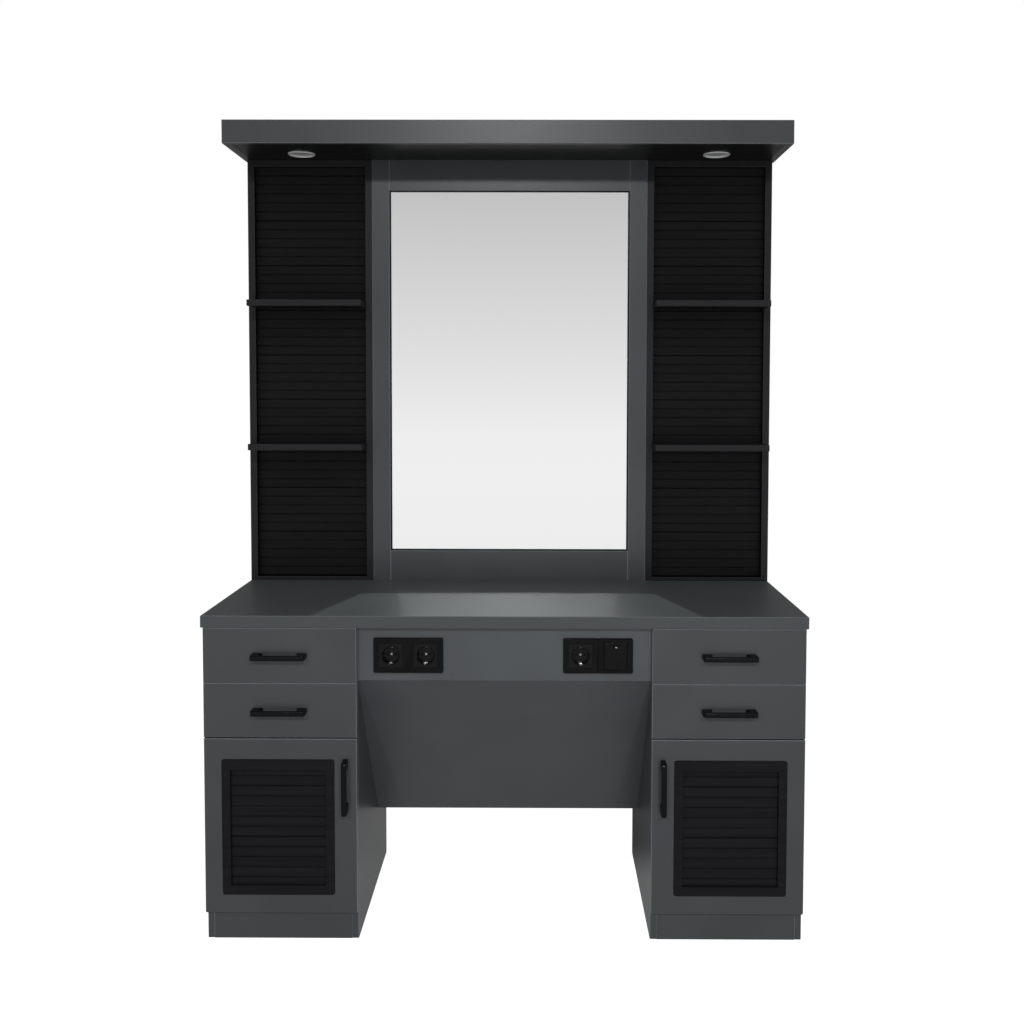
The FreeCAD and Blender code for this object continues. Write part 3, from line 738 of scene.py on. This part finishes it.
# Handles
@dataclass
class BowHandle:
    """Cast bow handle: a bar on two flared feet, rounded where a hand touches it."""

    node: str
    body: str
    upright: bool
    bar: float = 9 * MM
    foot: float = 24 * MM
    flare: float = 8 * MM
    corner: float = 7 * MM
    inner_corner: float = 5 * MM
    rounding: float = 2.4 * MM

    def build(self, workshop: Workshop) -> Piece:
        """Make the handle over its CAD node.

        Args:
            workshop: Where finishes come from.

        Returns:
            The handle.
        """
        low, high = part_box(self.node)
        centre = (low + high) / 2
        lengthwise, across = (2, 0) if self.upright else (0, 2)
        half = (high - low)[lengthwise] / 2
        height = (high - low)[across]
        reach = high.y - low.y
        foot = half - self.foot
        lean = foot + self.flare
        inner = reach - self.bar
        outline = [
            (-half, 0.0), (-half, reach), (half, reach), (half, 0.0),
            (foot, 0.0), (lean, inner), (-lean, inner), (-foot, 0.0),
        ]
        shape = bmesh.new()
        verts = [shape.verts.new((x, -out, -height / 2)) for x, out in outline]
        shape.faces.new(verts)
        soften(shape, verts[1:3], self.corner, 10, "VERTICES")
        soften(shape, verts[5:7], self.inner_corner, 10, "VERTICES")
        push_out(shape, shape.faces[:], (0, 0, height))
        seated = edges_at(shape, 1, 0.0)
        rim = [e for plane in (-height / 2, height / 2) for e in edges_at(shape, 2, plane) if e not in seated]
        soften(shape, rim, self.rounding, 4)
        turn = Matrix.Rotation(QUARTER if self.upright else 0.0, 3, "Y")
        set_in_place(shape, turn, Vector((centre.x, high.y, centre.z)))
        piece = workshop.finish_piece(shape, self.node + "_rounded", "black_handle", self.body)
        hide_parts(self.node)
        return piece


# Sockets and switch
@dataclass
class WallDevices:
    """Cover frames, socket inserts and their contacts on the apron."""

    module: float = 80.5 * MM
    insert: float = 55.0 * MM
    recess: float = 1.0 * MM
    corner: float = 3.0 * MM
    rounding: float = 1.2 * MM
    well: float = 19.7 * MM
    well_depth: float = 15.0 * MM
    lip: float = 1.8 * MM
    lip_height: float = 0.8 * MM
    lip_steps: int = 8
    clip_rounding: float = 0.9 * MM
    guide: float = 5.0 * MM
    guide_reach: float = 2.4 * MM
    guide_rounding: float = 0.8 * MM
    screw: ScrewHead = ScrewHead(2.9 * MM, 1.4 * MM, dome=0.9 * MM)
    clip: tuple[float, float] = (6.0 * MM, 1.2 * MM)
    rocker_opening: tuple[float, float] = (53.6 * MM, 64.6 * MM)

    def build(self, workshop: Workshop) -> list[Piece]:
        """Make frames, lips, screws and rocker over their CAD nodes.

        Args:
            workshop: Where finishes come from.

        Returns:
            The pieces that sparkle.
        """
        low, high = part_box("device_frames")
        middle = (low.z + high.z) / 2
        half = self.module / 2
        double = [low.x + half, low.x + half + self.module]
        single = high.x - half - self.module
        switch = high.x - half
        frames = bmesh.new()
        opening = (self.insert, self.insert)
        self.add_frame(frames, double, opening, low, high)
        self.add_frame(frames, [single], opening, low, high)
        self.add_frame(frames, [switch], self.rocker_opening, low, high)
        piece = workshop.finish_piece(frames, "device_frames_rounded", "socket_plastic", "carcass")
        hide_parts("device_frames")
        faces = [Vector((x, low.y + self.recess, middle)) for x in (*double, single)]
        made = []
        for index, face in enumerate(faces):
            shape = bmesh.new()
            self.screw.add(shape, face + Vector((0, self.well_depth, 0)), Axis.FRONT)
            name = f"socket_screw_{index + 1}"
            made.append(workshop.finish_piece(shape, name, "contact_metal", "carcass"))
        made.append(self.add_lips(workshop, faces))
        made.append(self.add_clips(workshop, faces))
        made.append(Rocker().build(workshop, Vector((switch, low.y, middle))))
        return made

    def add_frame(
        self, shape: Shape, centres: list[float], opening: tuple[float, float], low: Vector, high: Vector
    ) -> None:
        """Add one cover frame with an opening for each device.

        Args:
            shape: The shape to add to.
            centres: X of each device's centre.
            opening: Width and height of each opening.
            low: Lowest corner of the box round all frames.
            high: Its highest corner.
        """
        part = bmesh.new()
        count = len(centres)
        bmesh.ops.create_grid(part, x_segments=count, y_segments=1, size=0.5)
        bmesh.ops.scale(part, vec=(self.module * count, self.module, 1), verts=part.verts[:])
        cells = part.faces[:]
        side = (self.module - opening[0]) / 2
        bmesh.ops.inset_individual(part, faces=cells, thickness=side, use_even_offset=True)
        inner = {v for f in cells for v in f.verts}
        bmesh.ops.scale(part, vec=(1, opening[1] / opening[0], 1), verts=list(inner))
        bmesh.ops.delete(part, geom=cells, context="FACES_ONLY")
        push_out(part, part.faces[:], (0, 0, high.y - low.y))
        limit = self.module * count / 2 - NEAR
        soften(part, [e for e in edges_along(part, 2) if abs(e.verts[0].co.x) > limit], self.corner, 5)
        brim = [e for e in edges_at(part, 2, 0.0) if e.calc_face_angle(0.0) > CORNER_ANGLE]
        soften(part, brim, self.rounding)
        place = Vector((sum(centres) / count, low.y, (low.z + high.z) / 2))
        set_in_place(part, Matrix.Rotation(-QUARTER, 3, "X"), place)
        merge_into(shape, part)

    def add_lips(self, workshop: Workshop, faces: list[Vector]) -> Piece:
        """Add the rounded lip round each well and the two plug guides inside it.

        Args:
            workshop: Where finishes come from.
            faces: Centre of each insert's face.

        Returns:
            The lips and guides as one piece.
        """
        shape = bmesh.new()
        profile = [(self.well, -self.well_depth), (self.well, 0.0)]
        for step in range(self.lip_steps + 1):
            turn = math.pi * (step / self.lip_steps - 0.5)
            reach = self.well + self.lip * (1 + math.sin(turn)) / 2
            profile.append((reach, self.lip_height * math.cos(turn)))
        for face in faces:
            turned_profile(shape, profile, face, Axis.FRONT, 64)
            for side in (-1, 1):
                guide = bmesh.new()
                near, far = sorted((side * (self.well - self.guide_reach), side * self.well))
                low = Vector((near, self.lip_height, -self.guide / 2))
                block(guide, low, Vector((far, self.well_depth, self.guide / 2)))
                soften(guide, edges_along(guide, 1), self.guide_rounding)
                bmesh.ops.translate(guide, verts=guide.verts[:], vec=face)
                merge_into(shape, guide)
        return workshop.finish_piece(shape, "socket_lips", "socket_plastic", "carcass")

    def add_clips(self, workshop: Workshop, faces: list[Vector]) -> Piece:
        """Make the two earth clips in each well, with rolled front ends.

        Args:
            workshop: Where finishes come from.
            faces: Centre of each insert's face.

        Returns:
            The clips as one piece.
        """
        low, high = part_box("socket_contacts")
        width, thickness = self.clip
        shape = bmesh.new()
        for face in faces:
            left, right = face.x - width / 2, face.x + width / 2
            for base, inward in ((low.z, 1), (high.z, -1)):
                inside = base + inward * thickness
                clip = bmesh.new()
                bottom, top = sorted((base, inside))
                block(clip, Vector((left, low.y, bottom)), Vector((right, high.y, top)))
                front = edges_at(clip, 1, low.y)
                soften(clip, [e for e in edges_at(clip, 2, inside) if e in front], self.clip_rounding, 6)
                merge_into(shape, clip)
        piece = workshop.finish_piece(shape, "earth_clips_rolled", "contact_metal", "carcass")
        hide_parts("socket_contacts")
        return piece


@dataclass
class Rocker:
    """The switch's rocker: a softly edged plate with a finger dish, a rib behind it and its two pins."""

    width: float = 52.0 * MM
    height: float = 63.0 * MM
    proud: float = 1.0 * MM
    thickness: float = 4.5 * MM
    tilt: float = math.radians(3.0)
    axis_depth: float = 6.0 * MM
    pin: float = 1.2 * MM
    pin_inset: float = 3.2 * MM
    rib_inset: float = 6.7 * MM
    dish: tuple[float, float] = (9.0 * MM, 5.0 * MM)
    dish_depth: float = 1.2 * MM
    dish_lift: float = 23.2 * MM
    cell: float = 0.9 * MM
    rounding: float = 0.6 * MM

    def build(self, workshop: Workshop, centre: Vector) -> Piece:
        """Make the rocker over its CAD node.

        Args:
            workshop: Where finishes come from.
            centre: Middle of the switch, on its frame's face.

        Returns:
            The rocker.
        """
        shape = bmesh.new()
        columns, rows = round(self.width / self.cell), round(self.height / self.cell)
        bmesh.ops.create_grid(shape, x_segments=columns, y_segments=rows, size=0.5)
        bmesh.ops.scale(shape, vec=(self.width, self.height, 1), verts=shape.verts[:])
        push_out(shape, shape.faces[:], (0, 0, -self.thickness))
        for vert in (v for v in shape.verts if v.co.z > -self.thickness / 2):
            off = Vector((vert.co.x / self.dish[0], (vert.co.y - self.dish_lift) / self.dish[1])).length
            vert.co.z -= self.dish_depth * max(0.0, 1 - off * off)
        rim = [e for e in edges_at(shape, 2, 0.0) if e.calc_face_angle(0.0) > CORNER_ANGLE]
        soften(shape, rim, self.rounding)
        set_in_place(shape, Matrix.Rotation(QUARTER, 3, "X"), Vector((0, -self.proud, 0)))
        rib = self.width / 2 - self.rib_inset
        plate_back = self.thickness - self.proud
        block(shape, Vector((-rib, plate_back, -self.pin)), Vector((rib, self.axis_depth, self.pin)))
        reach = self.width / 2 - self.pin_inset
        profile = [(0, -reach), (self.pin, -reach), (self.pin, reach), (0, reach)]
        turned_profile(shape, profile, Vector((0, self.axis_depth, 0)), Axis.RIGHT, 24)
        lean = Matrix.Rotation(-self.tilt, 3, "X")
        bmesh.ops.rotate(shape, verts=shape.verts[:], cent=(0, self.axis_depth, 0), matrix=lean)
        bmesh.ops.translate(shape, verts=shape.verts[:], vec=centre)
        piece = workshop.finish_piece(shape, "switch_rocker_dished", "socket_plastic", "rocker")
        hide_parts("switch_rocker")
        return piece


# Small fasteners
@dataclass
class Fasteners:
    """Screws of handles, runners, hinges, angles, rails and cleats, seen when the station stands open."""

    head: ScrewHead = ScrewHead(3.4 * MM, 1.3 * MM)
    flat_head: ScrewHead = ScrewHead(3.4 * MM, 0.4 * MM)
    angle_steel: float = 2.0 * MM
    angle_width: float = 20.0 * MM
    runner_steel: float = 1.5 * MM
    runner_ends: float = 28.0 * MM
    runner_count: int = 3
    handle_foot: float = 24.0 * MM
    hinge_width: float = 8.0 * MM
    hinge_screws: tuple[float, float] = (16.0 * MM, 40.0 * MM)
    rail_inset: float = 45.0 * MM
    rail_board: float = 16.0 * MM
    cleat: float = 20.0 * MM
    cleat_shares: tuple[float, ...] = (0.15, 0.5, 0.85)

    def build(self, workshop: Workshop) -> None:
        """Make every group of screws on the body that holds it.

        Args:
            workshop: Where finishes come from.
        """
        groups = {}
        for side in ("left", "right"):
            for level in ("upper", "lower"):
                drawer = f"drawer_{side}_{level}"
                groups[drawer + "_runner_screws"] = (drawer, self.drawer_runners(drawer))
                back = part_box(drawer + "_slides")[0].y
                groups[drawer + "_handle_screws"] = (drawer, self.handle(drawer, back, 0))
            door = f"door_{side}"
            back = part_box(door + "_board")[1].y
            groups[door + "_handle_screws"] = (door, self.handle(door, back, 2))
        groups["runner_screws"] = ("carcass", self.fixed_runners())
        groups["shelf_angle_screws"] = ("carcass", self.angles())
        groups["worktop_screws"] = ("carcass", self.rails())
        groups["cleat_screws"] = ("carcass", self.cleats())
        groups["hinge_screws"] = ("carcass", self.hinges())
        for name, (body, places) in groups.items():
            head = self.flat_head if name == "hinge_screws" else self.head
            shape = bmesh.new()
            for seat, axis in places:
                head.add(shape, seat, axis)
            workshop.finish_piece(shape, name, "zinc_steel", body)

    def inner_face(self) -> float:
        """X of the right pedestal's inner gable, on its inside."""
        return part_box("door_right_catch_plate")[0].x

    def along(self, low: float, high: float) -> list[float]:
        """Even places between the ends of a runner."""
        first, last = low + self.runner_ends, high - self.runner_ends
        return [first + (last - first) * i / (self.runner_count - 1) for i in range(self.runner_count)]

    def on_gables(self, outer: float, steel: float, spots: list[tuple[float, float]]) -> Places:
        """Repeat screws on the insides of all four gables.

        Args:
            outer: X of the right outer gable's inside.
            steel: Thickness of the steel under the heads.
            spots: Y and Z of each screw.

        Returns:
            Seat and direction of each head.
        """
        inner = self.inner_face() + steel
        places = []
        for y, z in spots:
            for side in (-1, 1):
                outward, inward = (Axis.RIGHT, Axis.LEFT)[::side]
                places.append((Vector((side * inner, y, z)), outward))
                places.append((Vector((side * (outer - steel), y, z)), inward))
        return places

    def drawer_runners(self, drawer: str) -> Places:
        """Screws through the moving runners into a drawer's sides.

        Args:
            drawer: The drawer's body.

        Returns:
            Seat and direction of each head.
        """
        low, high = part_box(drawer + "_slides")
        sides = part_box(drawer + "_box")
        level = (low.z + high.z) / 2
        places = []
        for y in self.along(low.y, high.y):
            places.append((Vector((sides[0].x - self.runner_steel, y, level)), Axis.LEFT))
            places.append((Vector((sides[1].x + self.runner_steel, y, level)), Axis.RIGHT))
        return places

    def fixed_runners(self) -> Places:
        """Screws through the fixed runners into the gables.

        Returns:
            Seat and direction of each head.
        """
        low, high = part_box("slide_channels")
        spots = []
        for level in ("upper", "lower"):
            bottom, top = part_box(f"drawer_right_{level}_slides")
            spots += [(y, (bottom.z + top.z) / 2) for y in self.along(low.y, high.y)]
        return self.on_gables(high.x, self.runner_steel, spots)

    def angles(self) -> Places:
        """Screws through the shelf's angles into the gables.

        Returns:
            Seat and direction of each head.
        """
        low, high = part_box("shelf_brackets")
        level = (low.z + high.z - self.angle_steel) / 2
        half = self.angle_width / 2
        return self.on_gables(high.x, self.angle_steel, [(low.y + half, level), (high.y - half, level)])

    def handle(self, owner: str, back: float, lengthwise: int) -> Places:
        """The two screws of a handle, on the inside of its front.

        Args:
            owner: Drawer or door that carries the handle.
            back: Y of the inside face that the heads sit on.
            lengthwise: 0 or 2, for a handle along X or Z.

        Returns:
            Seat and direction of each head.
        """
        low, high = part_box(owner + "_handle")
        reach = (high[lengthwise] - low[lengthwise] - self.handle_foot) / 2
        places = []
        for side in (-1, 1):
            seat = (low + high) / 2
            seat.y = back
            seat[lengthwise] += side * reach
            places.append((seat, Axis.BACK))
        return places

    def hinges(self) -> Places:
        """Flat screws through the hinges' leaves into the gables' front edges.

        Returns:
            Seat and direction of each head.
        """
        low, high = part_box("pivot_hinges")
        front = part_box("gables_left")[0].y
        levels = [z for away in self.hinge_screws for z in (low.z + away, high.z - away)]
        sides = (low.x + self.hinge_width / 2, high.x - self.hinge_width / 2)
        return [(Vector((x, front, z)), Axis.FRONT) for x in sides for z in levels]

    def rails(self) -> Places:
        """Screws up through the pedestals' top rails into the worktop.

        Returns:
            Seat and direction of each head.
        """
        low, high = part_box("pedestal_rails")
        under = high.z - self.rail_board
        places = []
        for side in (-1, 1):
            for x in (self.inner_face() + self.rail_inset, high.x - self.rail_inset):
                for y in (low.y + self.rail_inset, high.y - self.rail_inset):
                    places.append((Vector((side * x, y, under)), Axis.DOWN))
        return places

    def cleats(self) -> Places:
        """Screws through the sloping cleats into the pedestals.

        Returns:
            Seat and direction of each head.
        """
        low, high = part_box("knee_panel_cleats")
        inner = high.x - self.cleat
        places = []
        for share in self.cleat_shares:
            y, z = low.y + share * (high.y - low.y), high.z - share * (high.z - low.z)
            places.append((Vector((-inner, y, z)), Axis.RIGHT))
            places.append((Vector((inner, y, z)), Axis.LEFT))
        return places


# Downlights
@dataclass
class Downlights:
    """Recessed lights: a bevelled rim below the soffit, a conical reflector and a frosted lens at its top."""

    rim: float = 3.0 * MM
    metal: float = 1.0 * MM
    shoulder: tuple[tuple[float, float], ...] = ((2.2 * MM, 0.0), (0.9 * MM, 0.4 * MM), (0.0, 1.6 * MM))
    mouth_radius: float = 31.5 * MM
    mouth_easing: tuple[float, float] = (0.5 * MM, 0.6 * MM)
    lens_radius: float = 27.5 * MM
    lens_lift: float = 4.5 * MM
    lens_crown: float = 1.0 * MM
    crown_share: tuple[float, float] = (0.55, 0.7)
    lens_thickness: float = 2.5 * MM
    steps: int = 72

    def build(self, workshop: Workshop) -> list[Piece]:
        """Make rims and lenses over their CAD nodes.

        Args:
            workshop: Where finishes come from.

        Returns:
            The rims and the lenses.
        """
        low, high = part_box("downlight_trims")
        radius = (high.y - low.y) / 2
        centre_y = (low.y + high.y) / 2
        inner, mouth, lift = self.lens_radius, self.mouth_radius, self.lens_lift
        cap = lift + self.metal
        eased, lip = self.mouth_easing
        profile = [(inner, cap), (inner, lift), (mouth, lip), (mouth + eased, 0)]
        profile += [(radius - back, up) for back, up in self.shoulder]
        profile += [(radius, self.rim), (mouth, self.rim + self.metal)]
        profile += [(inner + self.metal, cap), (inner, cap)]
        out, drop = self.crown_share
        top = lift + self.lens_thickness
        crown = [(0, lift - self.lens_crown), (inner * out, lift - self.lens_crown * drop)]
        crown += [(inner, lift), (inner, top), (0, top)]
        rims, lenses = bmesh.new(), bmesh.new()
        for x in (low.x + radius, high.x - radius):
            base = Vector((x, centre_y, low.z))
            turned_profile(rims, profile, base, Axis.UP, self.steps)
            turned_profile(lenses, crown, base, Axis.UP, self.steps)
        rim = workshop.finish_piece(rims, "downlight_rims_turned", "light_trim", "carcass")
        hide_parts("downlight_trims")
        dome = workshop.finish_piece(lenses, "downlight_lenses_domed", "light_lens", "carcass")
        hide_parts("downlight_lenses")
        return [rim, dome]


# Light, floor, camera
@dataclass
class Camera:
    """The viewpoint in front of the station, a little to the right of its middle."""

    place: tuple[float, float, float] = (0.07215, -2.646, 1.3063)
    lens_mm: float = 37.40
    yaw: float = 0.004085
    pitch: float = -0.04444
    roll: float = 0.001879
    shift: tuple[float, float] = (-0.0193, -0.0813)
    clip: tuple[float, float] = (0.05, 100.0)

    def build(self) -> None:
        """Create the camera and make it the scene's."""
        data = bpy.data.cameras.new("camera")
        data.lens = self.lens_mm
        data.shift_x, data.shift_y = self.shift
        data.clip_start, data.clip_end = self.clip
        turn = Matrix.Rotation(self.yaw, 4, "Z") @ Matrix.Rotation(QUARTER + self.pitch, 4, "X")
        matrix = Matrix.Translation(self.place) @ turn @ Matrix.Rotation(self.roll, 4, "Z")
        bpy.context.scene.camera = add_object("camera", data, matrix)


@dataclass(frozen=True)
class Lamp:
    """A round lamp: its place, its power and the surfaces that it lights."""

    name: str
    place: tuple[float, float, float]
    watts: float
    diameter: float = 0.25
    matt: bool = True
    gloss: bool = False

    def build(self, aim: Vector, receivers: Any = None, blockers: Any = None) -> None:
        """Create the lamp.

        Args:
            aim: Point that it faces.
            receivers: Collection of what it lights, or none for everything.
            blockers: Collection of what stops its light, or none for everything.
        """
        data = bpy.data.lights.new(self.name, "AREA")
        data.shape = "DISK"
        data.size = self.diameter
        data.energy = self.watts
        place = Vector(self.place)
        turn = (aim - place).to_track_quat("-Z", "Y").to_matrix().to_4x4()
        lamp = add_object(self.name, data, Matrix.Translation(place) @ turn)
        lamp.visible_camera = False
        lamp.visible_diffuse = self.matt
        lamp.visible_glossy = self.gloss
        if receivers is not None:
            lamp.light_linking.receiver_collection = receivers
        if blockers is not None:
            lamp.light_linking.blocker_collection = blockers

    def reflected(self, mirror_y: float, watts: float, **changes: Any) -> "Lamp":
        """The lamp as the mirror shows it, behind the wall.

        Args:
            mirror_y: The mirror's plane.
            watts: Power of the reflection.
            **changes: Other values that differ.

        Returns:
            The lamp's image.
        """
        x, y, z = self.place
        place = (x, 2 * mirror_y - y, z)
        return replace(self, name=self.name + "_in_mirror", place=place, watts=watts, **changes)


@dataclass
class Studio:
    """Lamps in front, a soft surround, a pale floor, and the lamps' bounce off the mirror."""

    left: Lamp = Lamp("lamp_left", (-1.42, -5.28, 3.45), 100.0)
    right: Lamp = Lamp("lamp_right", (1.30, -5.28, 3.45), 100.0)
    key: Lamp = Lamp("key_lamp", (-0.11, -4.28, 3.12), 28.0, 0.3, matt=False, gloss=True)
    aim: tuple[float, float, float] = (0.0, 0.0, 0.9)
    bounce_share: float = 5.2
    gloss_watts: float = 1.4
    key_bounce_watts: float = 0.4
    shade_margin: float = 2.5
    glint: Lamp = Lamp("glint_lamp", (0.15, -4.6, 3.25), 220.0, 0.3, matt=False, gloss=True)
    fill_size: tuple[float, float] = (2.0, 0.7)
    fill_place: tuple[float, float, float] = (0.5, -4.0, 0.4)
    fill_watts: float = 52.0
    floor_radius: float = 3.2
    floor_glow: float = 0.88
    floor_sheen: float = 0.3
    # A painted shade in the floor's reflections, behind on the right, that darkens what the right inner gable
    # reflects.
    reflection_shade_share: float = 0.1
    reflection_shade_x: tuple[float, float] = (0.0, 0.15)
    reflection_shade_y: tuple[float, float] = (0.1, 0.3)

    def build(self) -> None:
        """Create the lamps, the surround and the floor."""
        self.add_surround()
        self.add_floor()
        receivers = bpy.data.collections.new("bounce_receivers")
        receivers.objects.link(frame["nodes"]["worktop"])
        blockers = bpy.data.collections.new("bounce_blockers")
        blockers.objects.link(self.add_shade())
        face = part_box("mirror_glass")[0].y
        aim = Vector(self.aim)
        behind = Vector((self.aim[0], 2 * face - self.aim[1], self.aim[2]))
        for lamp in (self.left, self.right, self.key):
            lamp.build(aim)
        for lamp in (self.left, self.right):
            matt = lamp.reflected(face, lamp.watts * self.bounce_share)
            matt.build(behind, receivers, blockers)
            gloss = lamp.reflected(face, self.gloss_watts, matt=False, gloss=True)
            replace(gloss, name=gloss.name + "_gloss").build(behind, receivers, blockers)
        self.key.reflected(face, self.key_bounce_watts).build(behind, receivers, blockers)
        self.add_fill()

    def light_fittings(self, fittings: list[Piece]) -> None:
        """Add the small gloss-only lamp that sparkles on metal and moulded fittings.

        Args:
            fittings: The pieces that it lights.
        """
        receivers = bpy.data.collections.new("glint_receivers")
        for piece in fittings:
            receivers.objects.link(piece)
        self.glint.build(Vector(self.aim), receivers)

    def add_fill(self) -> None:
        """Create the wide low sheet in front, which lights the knee space and the lower frame."""
        data = bpy.data.lights.new("low_fill", "AREA")
        data.shape = "RECTANGLE"
        data.size, data.size_y = self.fill_size
        data.energy = self.fill_watts
        matrix = Matrix.Translation(self.fill_place) @ Matrix.Rotation(QUARTER, 4, "X")
        sheet = add_object("low_fill", data, matrix)
        sheet.visible_camera = False
        sheet.visible_glossy = False

    def add_shade(self) -> Piece:
        """Create the sheet round the mirror that lets only the mirror's bounce through.

        Returns:
            The sheet, which nothing but the bounce lamps meets.
        """
        low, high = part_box("mirror_glass")
        shape = bmesh.new()
        bmesh.ops.create_grid(shape, x_segments=1, y_segments=1, size=0.5)
        bmesh.ops.scale(shape, vec=(high.x - low.x, high.z - low.z, 1), verts=shape.verts[:])
        glass = shape.faces[:]
        bmesh.ops.inset_region(
            shape, faces=glass, thickness=-self.shade_margin, use_boundary=True, use_even_offset=True
        )
        edge = [e for e in shape.edges if len(e.link_faces) == 1]
        grown = bmesh.ops.extrude_edge_only(shape, edges=edge)["geom"]
        outer = [v for v in grown if isinstance(v, bmesh.types.BMVert)]
        spread_out = 1 + self.shade_margin / (high.x - low.x)
        bmesh.ops.scale(shape, vec=(spread_out, spread_out, 1), verts=outer)
        bmesh.ops.delete(shape, geom=glass, context="FACES_ONLY")
        set_in_place(shape, Matrix.Rotation(QUARTER, 3, "X"), Vector((0, low.y, (low.z + high.z) / 2)))
        shade = add_object("mirror_shade", into_mesh(shape, "mirror_shade"))
        for ray in ("camera", "diffuse", "glossy", "transmission", "volume_scatter", "shadow"):
            setattr(shade, "visible_" + ray, ray == "shadow")
        return shade

    def add_surround(self) -> None:
        """Make the world: white to look at, dimmer as light, with a soft fall-off upwards in the mirror."""
        world = bpy.data.worlds.new("studio")
        bpy.context.scene.world = world
        tree = empty_tree(world)
        parts = add_node(tree, "SeparateXYZ", {0: add_node(tree, "TexCoord").outputs["Generated"]})
        rise = parts.outputs[2]
        stops = {-0.16: "#f7f7f7", -0.09: "#fafafa", -0.05: "#f8f8f8", 0.05: "#e4e4e4", 0.17: "#cbcbcb"}
        mirrored = ramp(tree, rise, stops)
        stops = {-0.35: "#b4b4b4", -0.2: "#ececec", -0.05: "#e4e4e4", 0.05: "#bcbcbc"}
        stops |= {0.2: "#8c8c8c", 0.6: "#747474"}
        glossy = ramp(tree, rise, stops)
        inputs = {"Value": parts.outputs[1], "From Min": 0.0, "From Max": 0.25}
        behind = add_node(tree, "MapRange", inputs).outputs[0]
        glossy = blend_colours(tree, behind, glossy, "#7c7c7c")
        matt = ramp(tree, rise, {-0.5: "#606061", 0.1: "#707071", 0.8: "#b0b0b1"})
        path = add_node(tree, "LightPath").outputs
        lit = blend_colours(tree, path["Is Glossy Ray"], matt, glossy)
        lit = blend_colours(tree, path["Is Singular Ray"], lit, mirrored)
        colour = blend_colours(tree, path["Is Camera Ray"], lit, "#ffffff")
        back = add_node(tree, "Background", {"Color": colour, "Strength": 1.0})
        add_node(tree, "OutputWorld", {"Surface": back.outputs[0]})

    def add_floor(self) -> None:
        """Create the pale floor disc: white to look at, softly shadowed, with a painted shade in its
        reflection behind on the right.
        """
        shape = bmesh.new()
        bmesh.ops.create_circle(shape, cap_ends=True, segments=96, radius=self.floor_radius)
        floor = add_object("studio_floor", into_mesh(shape, "studio_floor"))
        made = bpy.data.materials.new("painted_studio_floor")
        tree = empty_tree(made)
        path = add_node(tree, "LightPath").outputs
        inputs = {0: path["Is Camera Ray"], 1: path["Is Singular Ray"]}
        seen = add_node(tree, "Math", inputs, operation="MAXIMUM")
        glow = add_node(tree, "Emission", {"Color": linear("#ffffff"), "Strength": self.floor_glow})
        shadow = add_node(tree, "BsdfDiffuse", {"Color": linear("#d0d0d0")})
        shown = add_node(tree, "AddShader", {0: glow.outputs[0], 1: shadow.outputs[0]})
        paint = add_node(tree, "BsdfDiffuse", {"Color": linear("#8c8c8c")})
        place = add_node(tree, "SeparateXYZ", {0: add_node(tree, "TexCoord").outputs["Object"]}).outputs
        shares = []
        for value, (start, end) in zip(place, (self.reflection_shade_x, self.reflection_shade_y)):
            inputs = {"Value": value, "From Min": start, "From Max": end}
            shares.append(add_node(tree, "MapRange", inputs).outputs[0])
        shaded = add_node(tree, "Math", {0: shares[0], 1: shares[1]}, operation="MULTIPLY").outputs[0]
        inputs = {"Value": shaded, "To Min": self.floor_sheen, "To Max": self.floor_sheen * self.reflection_shade_share}
        level = add_node(tree, "MapRange", inputs).outputs[0]
        sheen = add_node(tree, "Math", {0: path["Is Glossy Ray"], 1: level}, operation="MULTIPLY")
        lift = add_node(tree, "Emission", {"Color": linear("#ffffff"), "Strength": sheen.outputs[0]})
        paint = add_node(tree, "AddShader", {0: paint.outputs[0], 1: lift.outputs[0]})
        surface = add_node(tree, "MixShader", {0: seen.outputs[0], 1: paint.outputs[0], 2: shown.outputs[0]})
        add_node(tree, "OutputMaterial", {"Surface": surface.outputs[0]})
        floor.data.materials.append(made)


# Build
def handles() -> list[BowHandle]:
    """List the six handles with the bodies that they ride on.

    Returns:
        The handles, not yet built.
    """
    found = []
    for side in ("left", "right"):
        for level in ("upper", "lower"):
            drawer = f"drawer_{side}_{level}"
            found.append(BowHandle(drawer + "_handle", drawer, upright=False))
        found.append(BowHandle(f"door_{side}_handle", f"door_{side}", upright=True))
    return found


def main() -> None:
    """Build the camera, the light and every piece, in order."""
    logging.basicConfig(level=logging.INFO)
    bpy.context.scene.view_settings.view_transform = "Standard"
    workshop = Workshop()
    workshop.dress_nodes()
    Camera().build()
    studio = Studio()
    studio.build()
    fittings = [handle.build(workshop) for handle in handles()]
    fittings += WallDevices().build(workshop)
    fittings += Downlights().build(workshop)
    studio.light_fittings(fittings)
    Fasteners().build(workshop)


if __name__ == "__main__":
    main()
